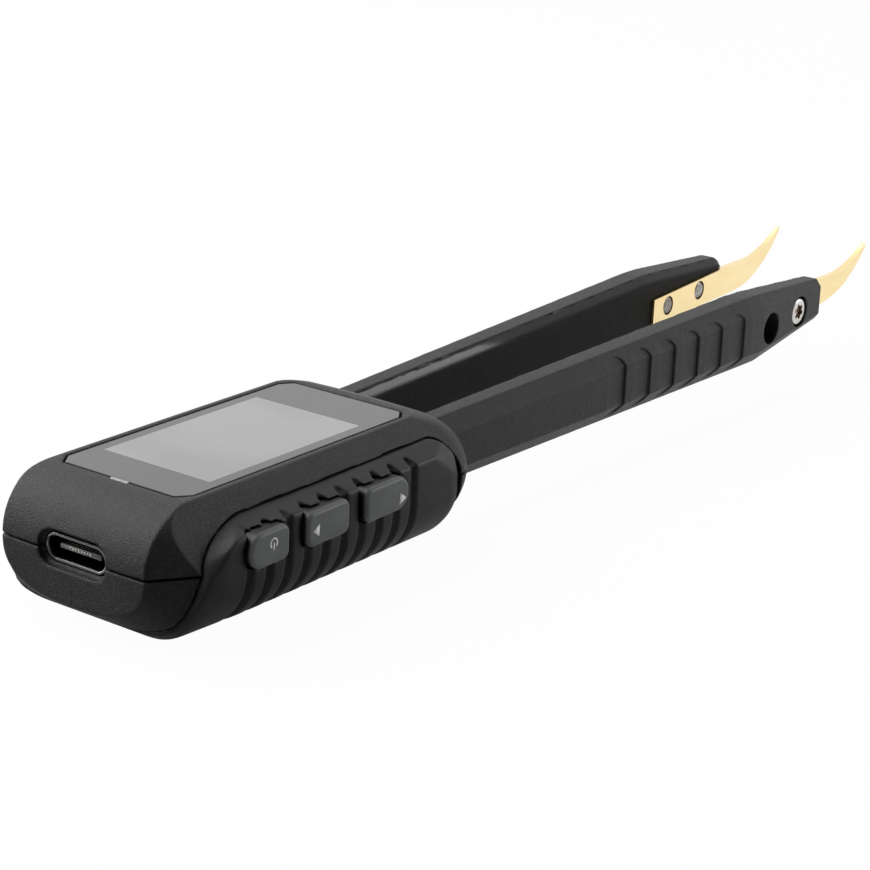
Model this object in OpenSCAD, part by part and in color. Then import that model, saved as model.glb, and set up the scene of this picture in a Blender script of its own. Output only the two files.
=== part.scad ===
// Test tweezers for surface-mount parts: a head with a colour screen, three side keys and
// a charging socket, a ribbed grip round it, and two sprung arms that end in curved blades.
// Stations run along X from the rear face of the head, heights run up from the table, and
// one side is drawn and mirrored. Lengths are in millimetres and angles in degrees.

/* [Head] */
// Height of the head, from the table to its flat top
head_h = 15.8; // [15.4:0.1:17]
// Height of the split line between the two housings
split_h = 8.87; // [8.6:0.05:9.1]
// Half the width of the flat top, at its side creases
top_half_w = 10.2; // [9.9:0.1:10.8]
// Half the width of the housings at the split line
split_half_w = 14.1; // [13.8:0.1:14.6]
// Depth of the rounded rear end, from the rear face to the flat top
rear_round = 7; // [6.6:0.1:7.6]
// Depth of the rounded front end, from the flat top to the front face
front_round = 5.5; // [5:0.1:6]
// Length of the flat rim in front of the screen window
front_rim = 1.2; // [1:0.1:1.6]
// Half the width of the rear face, between its two corner facets
rear_half_w = 10.45; // [10:0.05:10.8]
// Angle of the corner facets to the length of the head
facet_a = 35.3; // [33:0.1:38]
// Bow of the rear face over its width
rear_bow = 0.17; // [0.1:0.01:0.3]
// Bow of the front face over its width
front_bow = 0.6; // [0.3:0.1:0.9]
// Corner radius of the front face at the split line
front_corner_r = 4; // [3.6:0.1:4.6]
// Height of the rear face's lower edge
rear_low_h = 3.3; // [2.9:0.1:3.6]
// Slope of the bevel under the rear face
rear_bevel_a = 34; // [30:1:38]
// Wall thickness of the housings
wall = 1.5; // [1.4:0.05:1.6]

/* [Grip] */
// Half the width of the rubber grip, and of the head's flange in front of it
grip_half_w = 15.4; // [15.3:0.05:15.8]
// Distance from the head's front face back to the grip's front edge
grip_front_back = 4.4; // [4.2:0.1:4.8]
// Length and height of the rounded rear corner of the grip's edge
grip_corner = [7.8, 4.2];
// Thickness of the rubber at its edges, where it lies in the housings' recess
grip_edge_t = 0.5; // [0.45:0.05:0.6]
// Thickness of the rubber under the head
grip_t = 1.2; // [1:0.05:1.4]
// Width and height of the rounding between the grip's sides and its bottom
grip_belly = [9, 7.3];
// Height of the shoulder where the side of the grip starts
grip_shoulder_h = 12.45; // [12.2:0.05:12.6]
// Number of ribs' grooves along each side
groove_n = 10; // [8:1:10]
// Distance from groove to groove
groove_pitch = 3.125; // [3:0.025:3.15]
// Station of the first groove
groove_s = 11.24; // [11:0.05:11.5]
// Width of a groove at the surface
groove_w = 1.3; // [1.1:0.05:1.5]
// Depth of a groove
groove_d = 0.6; // [0.45:0.05:0.7]
// Half the width of the flat middle of the bottom, where the grooves end
groove_end_w = 8.2; // [7:0.1:9]

/* [Screen] */
// Length of the screen window
window_l = 38.8; // [38:0.1:40]
// Half the width of the screen window
window_half_w = 9.27; // [9.1:0.01:9.4]
// Thickness of the screen window
window_t = 1; // [0.8:0.05:1.1]
// Length of the display module
lcd_l = 29; // [28:0.1:30]
// Width of the display module
lcd_w = 17; // [16.6:0.1:17.2]
// Station where the display module starts
lcd_s = 11.4; // [11:0.1:12]
// Thickness of the display module
lcd_t = 3; // [2.6:0.05:3.1]

/* [Keys] */
// Distance of the keys' faces out of the grip
key_proud = 0.9; // [0.8:0.05:1.2]
// Travel of a key
key_travel = 0.4; // [0.3:0.05:0.45]
// Height of the keys' middle line
key_h = 10.3; // [10.1:0.05:10.5]
// Height of a key's outline, up the side of the grip
key_w = 4.1; // [3.9:0.1:4.4]
// Lengths of the power, menu and hold keys
key_l = [6.3, 7.25, 7.85];
// Stations where the three keys start
key_s = [10.35, 19.6, 29.65];
// Diameter of the stem behind each key
key_stem_d = 1.4; // [1.2:0.05:1.5]

/* [Socket] */
// Width of the charging socket's shell
usb_w = 8.94; // [8.9:0.01:9]
// Height of the charging socket's shell
usb_h = 3.16; // [3.1:0.01:3.26]
// Length of the charging socket's shell
usb_l = 7.3; // [6.9:0.1:7.9]
// Thickness of the socket shell's sheet
usb_sheet = 0.3; // [0.25:0.01:0.32]
// Height of the charging socket's middle
usb_mid_h = 9.09; // [9:0.01:9.15]
// Depth of the recess in front of the charging socket
usb_recess_d = 0.9; // [0.7:0.05:1.1]
// Width of the rim of the recess round the socket's shell
usb_recess_rim = 0.45; // [0.3:0.05:0.5]

/* [Inside] */
// Thickness of the main board
board_t = 1; // [0.8:0.1:1]
// Half the width of the main board
board_half_w = 10.6; // [10.2:0.1:10.8]
// Length of the battery
battery_l = 29; // [26:0.5:30]
// Width of the battery
battery_w = 18; // [16:0.5:19]
// Thickness of the battery
battery_t = 5.5; // [5:0.1:5.7]
// Diameter of the housing screws
case_screw_d = 2; // [1.8:0.1:2.2]
// Diameter of the housing screws' heads
case_head_d = 3.8; // [3.6:0.1:4]
// Wire diameter of the arm springs
spring_wire = 0.45; // [0.35:0.05:0.5]
// Outer diameter of the arm springs
spring_d = 3; // [2.6:0.1:3.2]

/* [Arms] */
// Length of the arms in front of the head
arm_l = 92.8; // [86:0.1:98]
// Half the gap between the arms where they leave the head
arm_gap = 4.5; // [4.4:0.05:4.8]
// Opening angle of each arm at rest
arm_splay = 1.3; // [1.2:0.05:1.4]
// Width of an arm where it leaves the head
arm_root_w = 4.95; // [4.8:0.05:5.1]
// Width of an arm where it is widest
arm_wide_w = 5.7; // [5.5:0.05:5.9]
// Width of an arm at its end
arm_end_w = 4.2; // [4:0.05:4.4]
// Distance from the head to where an arm is widest
arm_wide_l = 71; // [68:0.5:72]
// Height of the arms' underside
arm_low_h = 4.5; // [4.2:0.1:4.8]
// Height of the arms' top where they leave the head
arm_root_h = 13.05; // [12.8:0.05:13.1]
// Height of the arms' top where they are widest
arm_top_h = 14.38; // [14.1:0.05:14.6]
// Height of the arms' top at their ends
arm_end_top_h = 12.95; // [12.4:0.05:13.2]
// Height of the arms' underside at their ends
arm_end_low_h = 7; // [6.9:0.05:7.15]
// Thickness of the cover on the inner side of each arm
cover_t = 1.05; // [1:0.05:1.2]
// Wall thickness of the arms' shells
arm_wall = 1.3; // [1.1:0.05:1.4]
// Number of finger scallops on each arm
scallop_n = 6; // [4:1:6]
// Distance from scallop to scallop
scallop_pitch = 5.9; // [5.6:0.05:6.1]
// Depth of a scallop at its tip end
scallop_d = 0.6; // [0.4:0.05:0.7]
// Distance from the head to the first scallop's tip end
scallop_l = 38.5; // [37:0.1:39.5]
// Diameter of the hinge pins
pin_d = 2; // [1.8:0.1:2.2]
// Distance from the front face of the head back to the hinge pins
pin_back = 6.5; // [6.2:0.1:6.8]

/* [Blades] */
// Length of the blades in front of the arms
blade_reach = 18.5; // [17:0.1:21]
// Length of the blades held on the arms
blade_seat_l = 20.8; // [20:0.1:22]
// Thickness of the blades
blade_t = 1; // [0.9:0.05:1.1]
// Depth of the blades' seats in the arm covers
blade_seat_d = 0.6; // [0.5:0.05:0.7]
// Width of a blade at its rear end
blade_w = 3.9; // [3.7:0.1:4.1]
// Width of a blade where it leaves the arm
blade_front_w = 4.35; // [4.2:0.05:4.5]
// Height of a blade's lower edge at its rear end
blade_low_h = 6.75; // [6.6:0.05:6.9]
// Height of a blade's lower edge where it leaves the arm
blade_front_h = 7.12; // [7:0.02:7.3]
// Rise of the blade's upper edge to its point
blade_rise = 3.5; // [3:0.1:4]
// Outward bend of the blades in front of the arms
blade_bend = 2; // [1.8:0.1:2.2]
// Diameter of the blade screws
blade_screw_d = 2.4; // [2.2:0.1:2.5]
// Diameter of the blade screws' heads
blade_head_d = 4; // [3.8:0.1:4.2]
// Diameter of the holes in the arms over the blade screws' heads
blade_hole_d = 4.6; // [4.5:0.1:4.8]
// Distance of the front and rear blade screws behind the end of the arms
blade_screw_back = [7.5, 16.7];
// Heights of the front and rear blade screws
blade_screw_h = [9.5, 9];
// Depths of the front and rear blade screws' heads under the arm's outer face
blade_screw_deep = [0.2, 2.5];

/* [Fits] */
// Gap between pieces that are assembled with room
gap = 0.15; // [0.12:0.01:0.2]
// Gap round pieces that move past each other
move_gap = 0.3; // [0.25:0.01:0.35]
// Radial clearance of the hinge pins in the arms
pin_gap = 0.04; // [0.03:0.01:0.06]
// Radial clearance of a pin or screw in its seat
seat_gap = 0.01; // [0.01:0.005:0.02]

/* [Hidden] */
$fn = 40;
tiny = 0.02;
over = 1;

// The head's length follows from the screen window between its two rounded ends
window_margin = 0.25;
head_l = rear_round + window_l + 2 * window_margin + front_rim + front_round;
total_l = head_l + arm_l + blade_reach;
arm_end = head_l + arm_l;
housing_low = grip_t;
top_rise = head_h - split_h;
low_rise = split_h - housing_low;

// The keys stand out on one side only, so half of that moves the whole onto its own middle line
module place() { translate([-total_l / 2, key_proud / 2, 0]) children(); }
// side 1 is the left arm, at +Y, and side -1 the right one
module on_side(side) { if (side > 0) children(); else mirror([0, 1, 0]) children(); }
module both_sides() { for (side = [1, -1]) on_side(side) children(); }
function mirrored(points) = concat(points, [for (i = [len(points) - 1:-1:0]) [points[i][0], -points[i][1]]]);

// Prisms along X, Y and Z from outlines in (y, z), (x, z) and (x, y)
module along_x(from, to) { translate([from, 0, 0]) rotate([90, 0, 90]) linear_extrude(to - from) children(); }
module along_y(from, to) { translate([0, to, 0]) rotate([90, 0, 0]) linear_extrude(to - from) children(); }
module along_z(from, to) { translate([0, 0, from]) linear_extrude(to - from) children(); }
module box(low, high) { translate(low) cube(high - low); }
module rounded(r) { offset(r) offset(-r) children(); }
module stadium(w, h, r) { rounded(r) square([w, h], center = true); }

// Outer form of the housings: hulls over rings of points, so that their facets stay clean
module hull_of(points) { hull() polyhedron(points, [[for (i = [0:len(points) - 1]) i]]); }
function both(points) = concat(points, [for (p = points) [p[0], -p[1], p[2]]]);
// Half the width at a height above the split: the share k is 0 at the top and 1 at the split
function half_w(k, low) = top_half_w + (low - top_half_w) * k;
function side_half_w(h) = half_w(1 - (h - split_h) / top_rise, split_half_w);
// One side's ring at a height: rear face, corner facet, side, front corner and front face
function front_ring(half_w, front, r, h) = concat(
    [for (k = [0:0.25:1]) [front - front_bow * pow(k * (half_w - r) / half_w, 2), k * (half_w - r), h]],
    [for (a = [15:15:90]) [front - front_bow - r + r * cos(a), half_w - r + r * sin(a), h]]);
function rear_ring(rear, crease, half_w, h) = concat(
    [for (k = [0:0.25:1]) [rear + rear_bow * k * k, crease * k, h]],
    [[rear + rear_bow + (half_w - crease) / tan(facet_a), half_w, h]]);
// inset 0 gives the outside, and grip_edge_t the floor of the recess that the grip lies in
front_belly = 1.6;
function upper_points(g, inset) = let (low = split_half_w - inset,
    front_low = inset > 0 ? low : grip_half_w) concat(
    [for (a = [0:11.25:90]) let (w = half_w(1 - sin(a), low) + g - inset * sin(a) - (a == 90 ? 0.2 : 0))
        each rear_ring(rear_round * (1 - cos(a)) - g + inset, min(rear_half_w - inset, w), w,
            split_h + top_rise * sin(a))],
    [for (u = [0, 0.25, 0.5, 0.7, 0.85, 0.95, 1])
        each front_ring(half_w(1 - pow(u, front_belly), front_low) + g - inset * u - (u == 1 ? 0.2 : 0),
            head_l - front_round * pow(u, 4.6) + g - inset,
            2.4 + (front_corner_r - 2.4) * (1 - u), split_h + top_rise * u)]);

// Below the split the section is a rounded box, and the rear face a flatter one
function bowl(s, half_w, deep, n) = [for (a = [0:9:90])
    [s, half_w * pow(cos(a), 2 / n), split_h - deep * pow(sin(a), 2 / n)]];
facet_l = (split_half_w - rear_half_w) / tan(facet_a);
bevel_l = (rear_low_h - housing_low) / tan(rear_bevel_a);
belly_n = 3.6;
function lower_points(g, inset) = let (d = g - inset, mid = bevel_l * 0.92,
    w = split_half_w + d, deep = low_rise + d,
        front_low = inset > 0 ? w : grip_half_w + d) concat(
    rear_ring(-d, rear_half_w - inset, w, split_h),
    [for (p = bowl(0, rear_half_w - inset, split_h - rear_low_h + d, 2.6))
        [p[0] - d + rear_bow * pow(p[1] / rear_half_w, 2), p[1], p[2]]],
    bowl(rear_bow + mid, rear_half_w + mid * tan(facet_a) + d, deep - 0.1, 5),
    bowl(rear_bow + facet_l, w, deep, belly_n),
    [for (v = [0, 0.2, 0.4, 0.6, 0.75, 0.88, 0.96])
        each front_ring(front_low * pow(1 - pow(v, 3.2), 1 / 3.2),
            head_l - front_round * 0.9 * pow(v, 1.5) + d,
            front_corner_r, split_h - deep * v)]);

// Hinge pins, screws and openings of the head
pin_s = head_l - pin_back;
lug_r = 2.7;
pin_y = arm_gap + lug_r - 0.5;
lug_low = arm_low_h + 0.9;
lug_high = arm_root_h - 1.25;
roof_h = head_h - window_t - 1.6;
screw_spots = [[rear_round, 8.8], [rear_round, -8.8], [pin_s, 0]];
close_a = 3.5;

function arm_inner(s) = arm_gap + (s - head_l) * tan(arm_splay);
arm_wide = head_l + arm_wide_l;
// Each row: station, width of the arm, heights of its top and underside, share of the outer bevels
arm_rows = [
    [head_l - 2.4, arm_root_w, arm_root_h, arm_low_h, 1],
    [arm_wide - 1, arm_wide_w, arm_top_h, arm_low_h, 1],
    [arm_wide + 2.5, arm_wide_w - 0.15, arm_top_h - 0.1, arm_low_h, 0.92],
    [arm_end - 0.8, arm_end_w, arm_end_top_h + 0.1, arm_end_low_h - 0.1, 0.5],
    [arm_end, arm_end_w - 0.5, arm_end_top_h - 0.3, arm_end_low_h + 0.3, 0.5]];
function arm_section(y, w, top, low, k = 1) = [
    [y, low + 1], [y, top - 1.45], [y + cover_t, top], [y + w - 1.9 * k, top], [y + w, top - 2.15 * k],
    [y + w, low + 1.9 * k], [y + w - 1.4 * k, low], [y + 0.95, low]];
module arm_form() {
    hull_of([for (row = arm_rows, p = arm_section(arm_inner(row[0]), row[1], row[2], row[3], row[4]))
        [row[0], p[0], p[1]]]);
}
// The way through the head's front wall, wide enough for the arm's whole swing
swing = (pin_back + 1) * sin(close_a);
module arm_opening() {
    along_x(head_l - 5, head_l + over) offset(delta = move_gap) hull() for (move = [0, swing])
        polygon(arm_section(arm_gap - 0.1 - move, arm_root_w + 0.1, arm_root_h + 0.1, arm_low_h));
}
module socket_opening() {
    along_x(-over, usb_recess_d) translate([0, usb_mid_h])
        stadium(usb_w + 2 * usb_recess_rim, usb_h + 2 * usb_recess_rim, 1.7);
    along_x(0, rear_round) translate([0, usb_mid_h]) stadium(usb_w + 2 * gap, usb_h + 2 * gap, 1.6);
}
spring_s = head_l - 1.8;
spring_h = 6.7;

// The pocket of the screen window, with cut corners
module window_outline(g) {
    offset(delta = g) translate([rear_round + window_margin, 0])
        polygon([[1.7, -window_half_w], [window_l - 1.7, -window_half_w], [window_l, 1.2 - window_half_w],
            [window_l, window_half_w - 1.2], [window_l - 1.7, window_half_w], [1.7, window_half_w],
            [0, window_half_w - 1.2], [0, 1.2 - window_half_w]]);
}
cavity_rear = 3.2;
cavity_front = head_l - 4.4;
module cavity_plan(half_w) {
    rounded(1) polygon(mirrored([[cavity_rear, half_w - 3.4], [cavity_rear + 4, half_w],
        [cavity_front, half_w]]));
}
module top_housing() {
    color("#2b2b2c") place() difference() {
        union() {
            difference() {
                hull_of(both(upper_points(0, 0)));
                recess();
                along_z(split_h - over, split_h + 1.4) cavity_plan(split_half_w - wall - 0.9);
                along_z(split_h, board_top + 0.2) cavity_plan(side_half_w(board_top + 0.2) - wall);
                along_z(split_h, roof_h) cavity_plan(side_half_w(roof_h) - wall);
            }
            for (spot = screw_spots) translate([spot[0], spot[1], split_h])
                cylinder(h = roof_h - split_h + tiny, d = case_screw_d + 2.4);
        }
        along_z(head_h - window_t - 0.05, head_h + over) window_outline(gap);
        box([lcd_s - gap * 2, -lcd_w / 2 - gap, roof_h - over],
            [lcd_s + lcd_l + gap * 2, lcd_w / 2 + gap, head_h]);
        both_sides() arm_opening();
        socket_opening();
        for (spot = screw_spots) translate([spot[0], spot[1], split_h - over])
            cylinder(h = case_screw_l + over - (split_h - case_seat_h) + 0.3, d = case_screw_d + 2 * seat_gap);
        both_sides() translate([pin_s, pin_y, split_h])
            cylinder(h = pin_top - split_h + 0.1, d = pin_d + 2 * seat_gap);
        for (i = [0:2]) translate([key_s[i] + key_l[i] / 2, -split_half_w - over, stem_h]) rotate([-90, 0, 0])
            cylinder(h = wall + 3, d = key_stem_d + 2 * gap);
    }
}

pin_low = 3.2;
pin_top = roof_h + 1;
floor_h = housing_low + grip_edge_t + wall - 0.2;
case_seat_h = floor_h + 0.7;
case_screw_l = roof_h - case_seat_h - 0.6;
module bottom_housing() {
    color("#262627") place() difference() {
        union() {
            difference() {
                hull_of(both(lower_points(0, 0)));
                recess();
                along_z(floor_h, split_h + over) cavity_plan(9.8);
                along_z(floor_h + 2.3, split_h + over) cavity_plan(split_half_w - wall - 0.9);
            }
            for (spot = screw_spots) translate([spot[0], spot[1], floor_h - 0.1])
                cylinder(h = split_h - floor_h + 0.1, d = case_head_d + 1);
            both_sides() translate([pin_s, pin_y, floor_h - tiny])
                cylinder(h = lug_low - gap * 2 - floor_h, d = pin_d + 2);
        }
        both_sides() arm_opening();
        socket_opening();
        for (spot = screw_spots) translate([spot[0], spot[1], 0]) {
            cylinder(h = head_h, d = case_screw_d + 2 * gap);
            cylinder(h = case_seat_h, d = case_head_d + 2 * gap);
        }
        both_sides() translate([pin_s, pin_y, pin_low - 0.1]) cylinder(h = head_h, d = pin_d + 2 * seat_gap);
        both_sides() translate([spring_s, 0.6, spring_h]) rotate([-90, 0, 0])
            cylinder(h = 6, d = spring_d + 2 * gap);
    }
}

// The grip lies in a recess of the housings. This is its edge, seen from the side
grip_front = head_l - grip_front_back;
grip_top_h = 13.2;
grip_corner_s = 5.4 + grip_corner[0];
module grip_edge(g) {
    offset(delta = g) polygon(concat([[2.4, -over], [2.4, 1.9], [2.8, 2.6], [3.7, 4.1], [4.6, 6.3], [5, 7.8]],
        [for (a = [0:10:90]) [grip_corner_s - grip_corner[0] * pow(cos(a), 1.3),
            grip_top_h - grip_corner[1] * (1 - pow(sin(a), 1.3))]],
        [for (a = [90:-15:0]) [grip_front - 3.5 + 3.5 * cos(a),
            split_h + 0.6 + (grip_top_h + 0.4 - split_h - 0.6) * sin(a)]],
        [[grip_front, 7.4], [grip_front - 0.1, 4.5], [grip_front - 0.4, 2], [grip_front - 0.6, -over]]));
}
module recess() {
    difference() {
        along_y(-20, 20) grip_edge(gap);
        hull_of(both(concat(upper_points(0, grip_edge_t), lower_points(0, grip_edge_t))));
    }
}
// Half the width of the head's side at a station and a height above the split
function seam_half_w(s, h) = let (k = (s - 5) / (head_l - 10)) half_w(1 - pow((h - split_h) / top_rise,
    1 + (front_belly - 1) * k), split_half_w + (grip_half_w - split_half_w) * k);
// One side's ring of the grip: from its shoulder down and round to the flat bottom
function grip_ring(s, w, shoulder, low, belly) = concat([[s, w, shoulder]], [for (a = [0:11.25:90])
    [s, w - belly[0] * (1 - cos(a)), low + belly[1] * (1 - sin(a))]], [[s, 0, low]]);
// The rubber's outside, or at a negative g the floor of its grooves
function grip_points(g) = concat(
    grip_ring(2.4, 11.6 + g, 3.4, 1.7 - g, [5, 1.6]),
    grip_ring(4.4, split_half_w + 0.25 + g, 7.6, 0.5 - g, [6.6, 7]),
    [for (p = [[5.4, 9], [6.2, 10.2], [8.2, 11.65], [11, 12.75], [13.2, 13.2], [grip_front - 3.5, 13.6],
            [grip_front - 1.8, 13.1], [grip_front - 1, 12.4], [grip_front - 0.5, 11.6]])
        [p[0], seam_half_w(p[0], p[1]) + 0.35 + g, p[1]]],
    grip_ring(6.8, grip_half_w - 0.1 + g, 9.6, 0.12 - g, [9.4, 8]),
    grip_ring(9, grip_half_w + g, grip_shoulder_h - 0.5, 0.05 - g, [9.4, 8]),
    grip_ring(13.5, grip_half_w + g, grip_shoulder_h, -g, grip_belly),
    grip_ring(grip_front - 5.2, grip_half_w + g, grip_shoulder_h, -g, grip_belly),
    grip_ring(grip_front - 1.8, grip_half_w + g, grip_shoulder_h - 2.5, -g, [8.6, 7]),
    grip_ring(grip_front - 0.8, grip_half_w - 0.12 + g, 9.6, 0.2 - g, [8.6, 7]),
    grip_ring(grip_front + 0.1, grip_half_w - 0.45 + g, 8.8, 0.7 - g, [8.6, 6.6]));
module grip_form(g) { hull_of(both(grip_points(g))); }
module key_outline(i, g) {
    l = key_l[i] + 2 * g;
    w = key_w + 2 * g;
    r = 1.1 + g;
    big = w / 2 - 0.1;
    rear = i == 0 ? big : r;
    tip = i == 2 ? big : r;
    translate([key_s[i] - g, key_h - w / 2]) hull() {
        for (z = [rear, w - rear]) translate([rear, z]) circle(rear, $fn = 32);
        for (z = [tip, w - tip]) translate([l - tip, z]) circle(tip, $fn = 32);
    }
}
module grip_sleeve() {
    color("#302f2d") place() difference() {
        intersection() {
            grip_form(0);
            along_y(-20, 20) grip_edge(0);
        }
        hull_of(both(concat(upper_points(gap, grip_edge_t), lower_points(gap, grip_edge_t))));
        // The grooves run down both sides and round under, and leave the middle of the bottom flat
        difference() {
            for (i = [0:groove_n - 1], side = [1, -1]) let (s = groove_s + i * groove_pitch)
                on_side(side) box([s - groove_w / 2, groove_end_w, -over],
                    [s + groove_w / 2, grip_half_w + over, grip_shoulder_h + 0.45]);
            grip_form(-groove_d);
        }
        for (i = [0:2]) along_y(-grip_half_w - over, -split_half_w + 2) key_outline(i, move_gap);
        for (spot = screw_spots) translate([spot[0], spot[1], -over])
            cylinder(h = 5, d = case_head_d + 2 * gap);
    }
}

module screen_window() {
    color("#8f8f90") place() along_z(head_h - window_t - 0.03, head_h - 0.03) window_outline(0);
}
lcd_top = head_h - window_t - 0.05;
module lcd_module() {
    color("#c2c4c6") place() box([lcd_s, -lcd_w / 2, lcd_top - lcd_t], [lcd_s + lcd_l, lcd_w / 2, lcd_top]);
}
board_h = usb_mid_h + usb_h / 2;
board_top = board_h + board_t;
board_front = pin_s - lug_r - 1;
board_tail = cavity_rear + gap * 2;
module main_board() {
    tail_l = rear_round + 3 - board_tail;
    color("#20502c") place() along_z(board_h, board_h + board_t) union() {
        translate([board_tail, -5.8]) square([tail_l + over, 11.6]);
        translate([board_tail + tail_l, -board_half_w])
            square([board_front - board_tail - tail_l, 2 * board_half_w]);
    }
}
module battery() {
    color("#9a9ea3") place() translate([lcd_s + lcd_l / 2 - battery_l / 2, 0, floor_h + 0.05])
        linear_extrude(battery_t) translate([0, -battery_w / 2]) rounded(1.2) square([battery_l, battery_w]);
}
module usb_socket() {
    color("#b9bbbe") place() difference() {
        along_x(usb_recess_d, usb_recess_d + usb_l) translate([0, usb_mid_h]) stadium(usb_w, usb_h - tiny, 1.5);
        along_x(usb_recess_d - over, usb_recess_d + usb_l - usb_sheet) translate([0, usb_mid_h])
            stadium(usb_w - 2 * usb_sheet, usb_h - 2 * usb_sheet, 1.2);
    }
}
module usb_tongue() {
    color("#1a1a1b") place() box([usb_recess_d + 0.7, -3.25, usb_mid_h - 0.35],
        [usb_recess_d + usb_l - usb_sheet - tiny, 3.25, usb_mid_h + 0.35]);
}

// A key is a cap with rounded edges in the grip's pocket and a stem through the housing's wall
key_face = grip_half_w + key_proud;
key_back = split_half_w - grip_edge_t + key_travel + move_gap;
switch_y = 10.6;
stem_h = split_h + key_stem_d / 2 + gap + 0.05;
module key(i) {
    color("#343435") place() {
        hull() {
            along_y(-key_face + 0.5, -key_back) key_outline(i, 0);
            along_y(-key_face + 0.15, -key_back) key_outline(i, -0.15);
            along_y(-key_face, -key_back) key_outline(i, -0.5);
        }
        translate([key_s[i] + key_l[i] / 2, -key_back - tiny, stem_h]) rotate([-90, 0, 0])
            cylinder(h = key_back + tiny - switch_y - 0.8 - key_travel - 0.1, d = key_stem_d);
    }
}
module power_key() { key(0); }
module menu_key() { key(1); }
module hold_key() { key(2); }
module key_switches() {
    color("#3c3c3e") place() for (i = [0:2]) {
        mid = key_s[i] + key_l[i] / 2;
        box([mid - key_l[i] * 0.28, -switch_y, board_h - key_w * 0.37],
            [mid + key_l[i] * 0.28, -switch_y + key_w * 0.65, board_h]);
        translate([mid, -switch_y - 0.8, stem_h]) rotate([-90, 0, 0]) cylinder(h = 1, d = 1.1);
    }
}
module driven_screw(head_d, head_h, shank_d, shank_l) {
    difference() {
        union() {
            cylinder(h = head_h, d1 = head_d - 0.5, d2 = head_d);
            translate([0, 0, head_h - tiny]) cylinder(h = shank_l + tiny, d = shank_d);
        }
        for (a = [0, 60, 120]) rotate(a)
            box([-head_d * 0.27, -head_d * 0.09, -over], [head_d * 0.27, head_d * 0.09, head_h * 0.6]);
    }
}
module housing_screws() {
    color("#8d8f92") place() for (spot = screw_spots)
        translate([spot[0], spot[1], case_seat_h - 1.2 - tiny])
            driven_screw(case_head_d, 1.2, case_screw_d, case_screw_l);
}
// Each spring pushes on one arm from the web between them
function ring(c, u, v, r) = [for (a = [0:60:300]) c + r * (cos(a) * u + sin(a) * v)];
module spring_coil(length) {
    turns = 4;
    steps = 10 * turns;
    coil_r = (spring_d - spring_wire) / 2;
    rise = length - spring_wire;
    points = [for (i = [0:steps]) let (a = 360 * i / 10)
        each ring([coil_r * cos(a), spring_wire / 2 + rise * i / steps, coil_r * sin(a)], [cos(a), 0, sin(a)],
            [0, 1, 0], spring_wire / 2)];
    polyhedron(points, concat([[5, 4, 3, 2, 1, 0]],
        [for (i = [0:steps - 1], j = [0:5]) [6 * i + j, 6 * i + (j + 1) % 6, 6 * i + 6 + (j + 1) % 6]],
        [for (i = [0:steps - 1], j = [0:5]) [6 * i + j, 6 * i + 6 + (j + 1) % 6, 6 * i + 6 + j]],
        [[for (j = [0:5]) 6 * steps + j]]));
}
module arm_springs() {
    reach = arm_inner(spring_s) - (spring_s - pin_s) * sin(close_a) - 0.06;
    color("#a3a5a8") place() both_sides() translate([spring_s, 0.65, spring_h]) spring_coil(reach - 0.65);
}
module hinge_pin(side) {
    color("#9b9da0") place() on_side(side) translate([pin_s, pin_y, pin_low])
        cylinder(h = pin_top - pin_low, d = pin_d);
}
module left_hinge_pin() { hinge_pin(1); }
module right_hinge_pin() { hinge_pin(-1); }

// Arms: an outer shell with a lug on the hinge pin, and a flat cover on the inner side
module arm_slice(from, to) {
    // The space between two planes that run along the arm, measured from its inner face
    along_z(-over, head_h + over) polygon([
        [head_l - 10, arm_inner(head_l - 10) + from], [arm_end + over, arm_inner(arm_end + over) + from],
        [arm_end + over, arm_inner(arm_end + over) + to], [head_l - 10, arm_inner(head_l - 10) + to]]);
}
function arm_width(s) = s < arm_wide
    ? arm_root_w + (arm_wide_w - arm_root_w) * (s - head_l) / arm_wide_l
    : arm_wide_w + (arm_end_w - arm_wide_w) * (s - arm_wide) / (arm_l - arm_wide_l);
function arm_outer(s) = arm_inner(s) + arm_width(s);
lead_front = arm_end - blade_screw_back[1];
module scallop(i) {
    // A cut that starts at the surface and gets deeper towards a rounded tip end
    s = head_l + scallop_l - 7 + i * scallop_pitch;
    l = scallop_pitch - 0.9;
    turn = atan((arm_outer(s + 7) - arm_outer(s)) / 7);
    translate([s + 7 - l, arm_outer(s + 7 - l), 0]) rotate([0, 0, turn - atan(scallop_d / l)])
        along_y(0, 3) intersection() {
            translate([-0.3, arm_low_h + 1.1]) rounded(1.9) square([l + 0.3, 7.3]);
            translate([-0.3, 0]) square([l + 0.3, head_h]);
        }
}
module screw_hole(i) {
    s = arm_end - blade_screw_back[i];
    translate([s, arm_outer(s) - blade_screw_deep[i] - 1.2, blade_screw_h[i]]) rotate([-90, 0, 0])
        cylinder(h = 8, d = blade_hole_d);
    translate([s, 0, blade_screw_h[i]]) rotate([-90, 0, 0]) cylinder(h = 14, d = blade_screw_d + 2 * gap);
}
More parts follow.
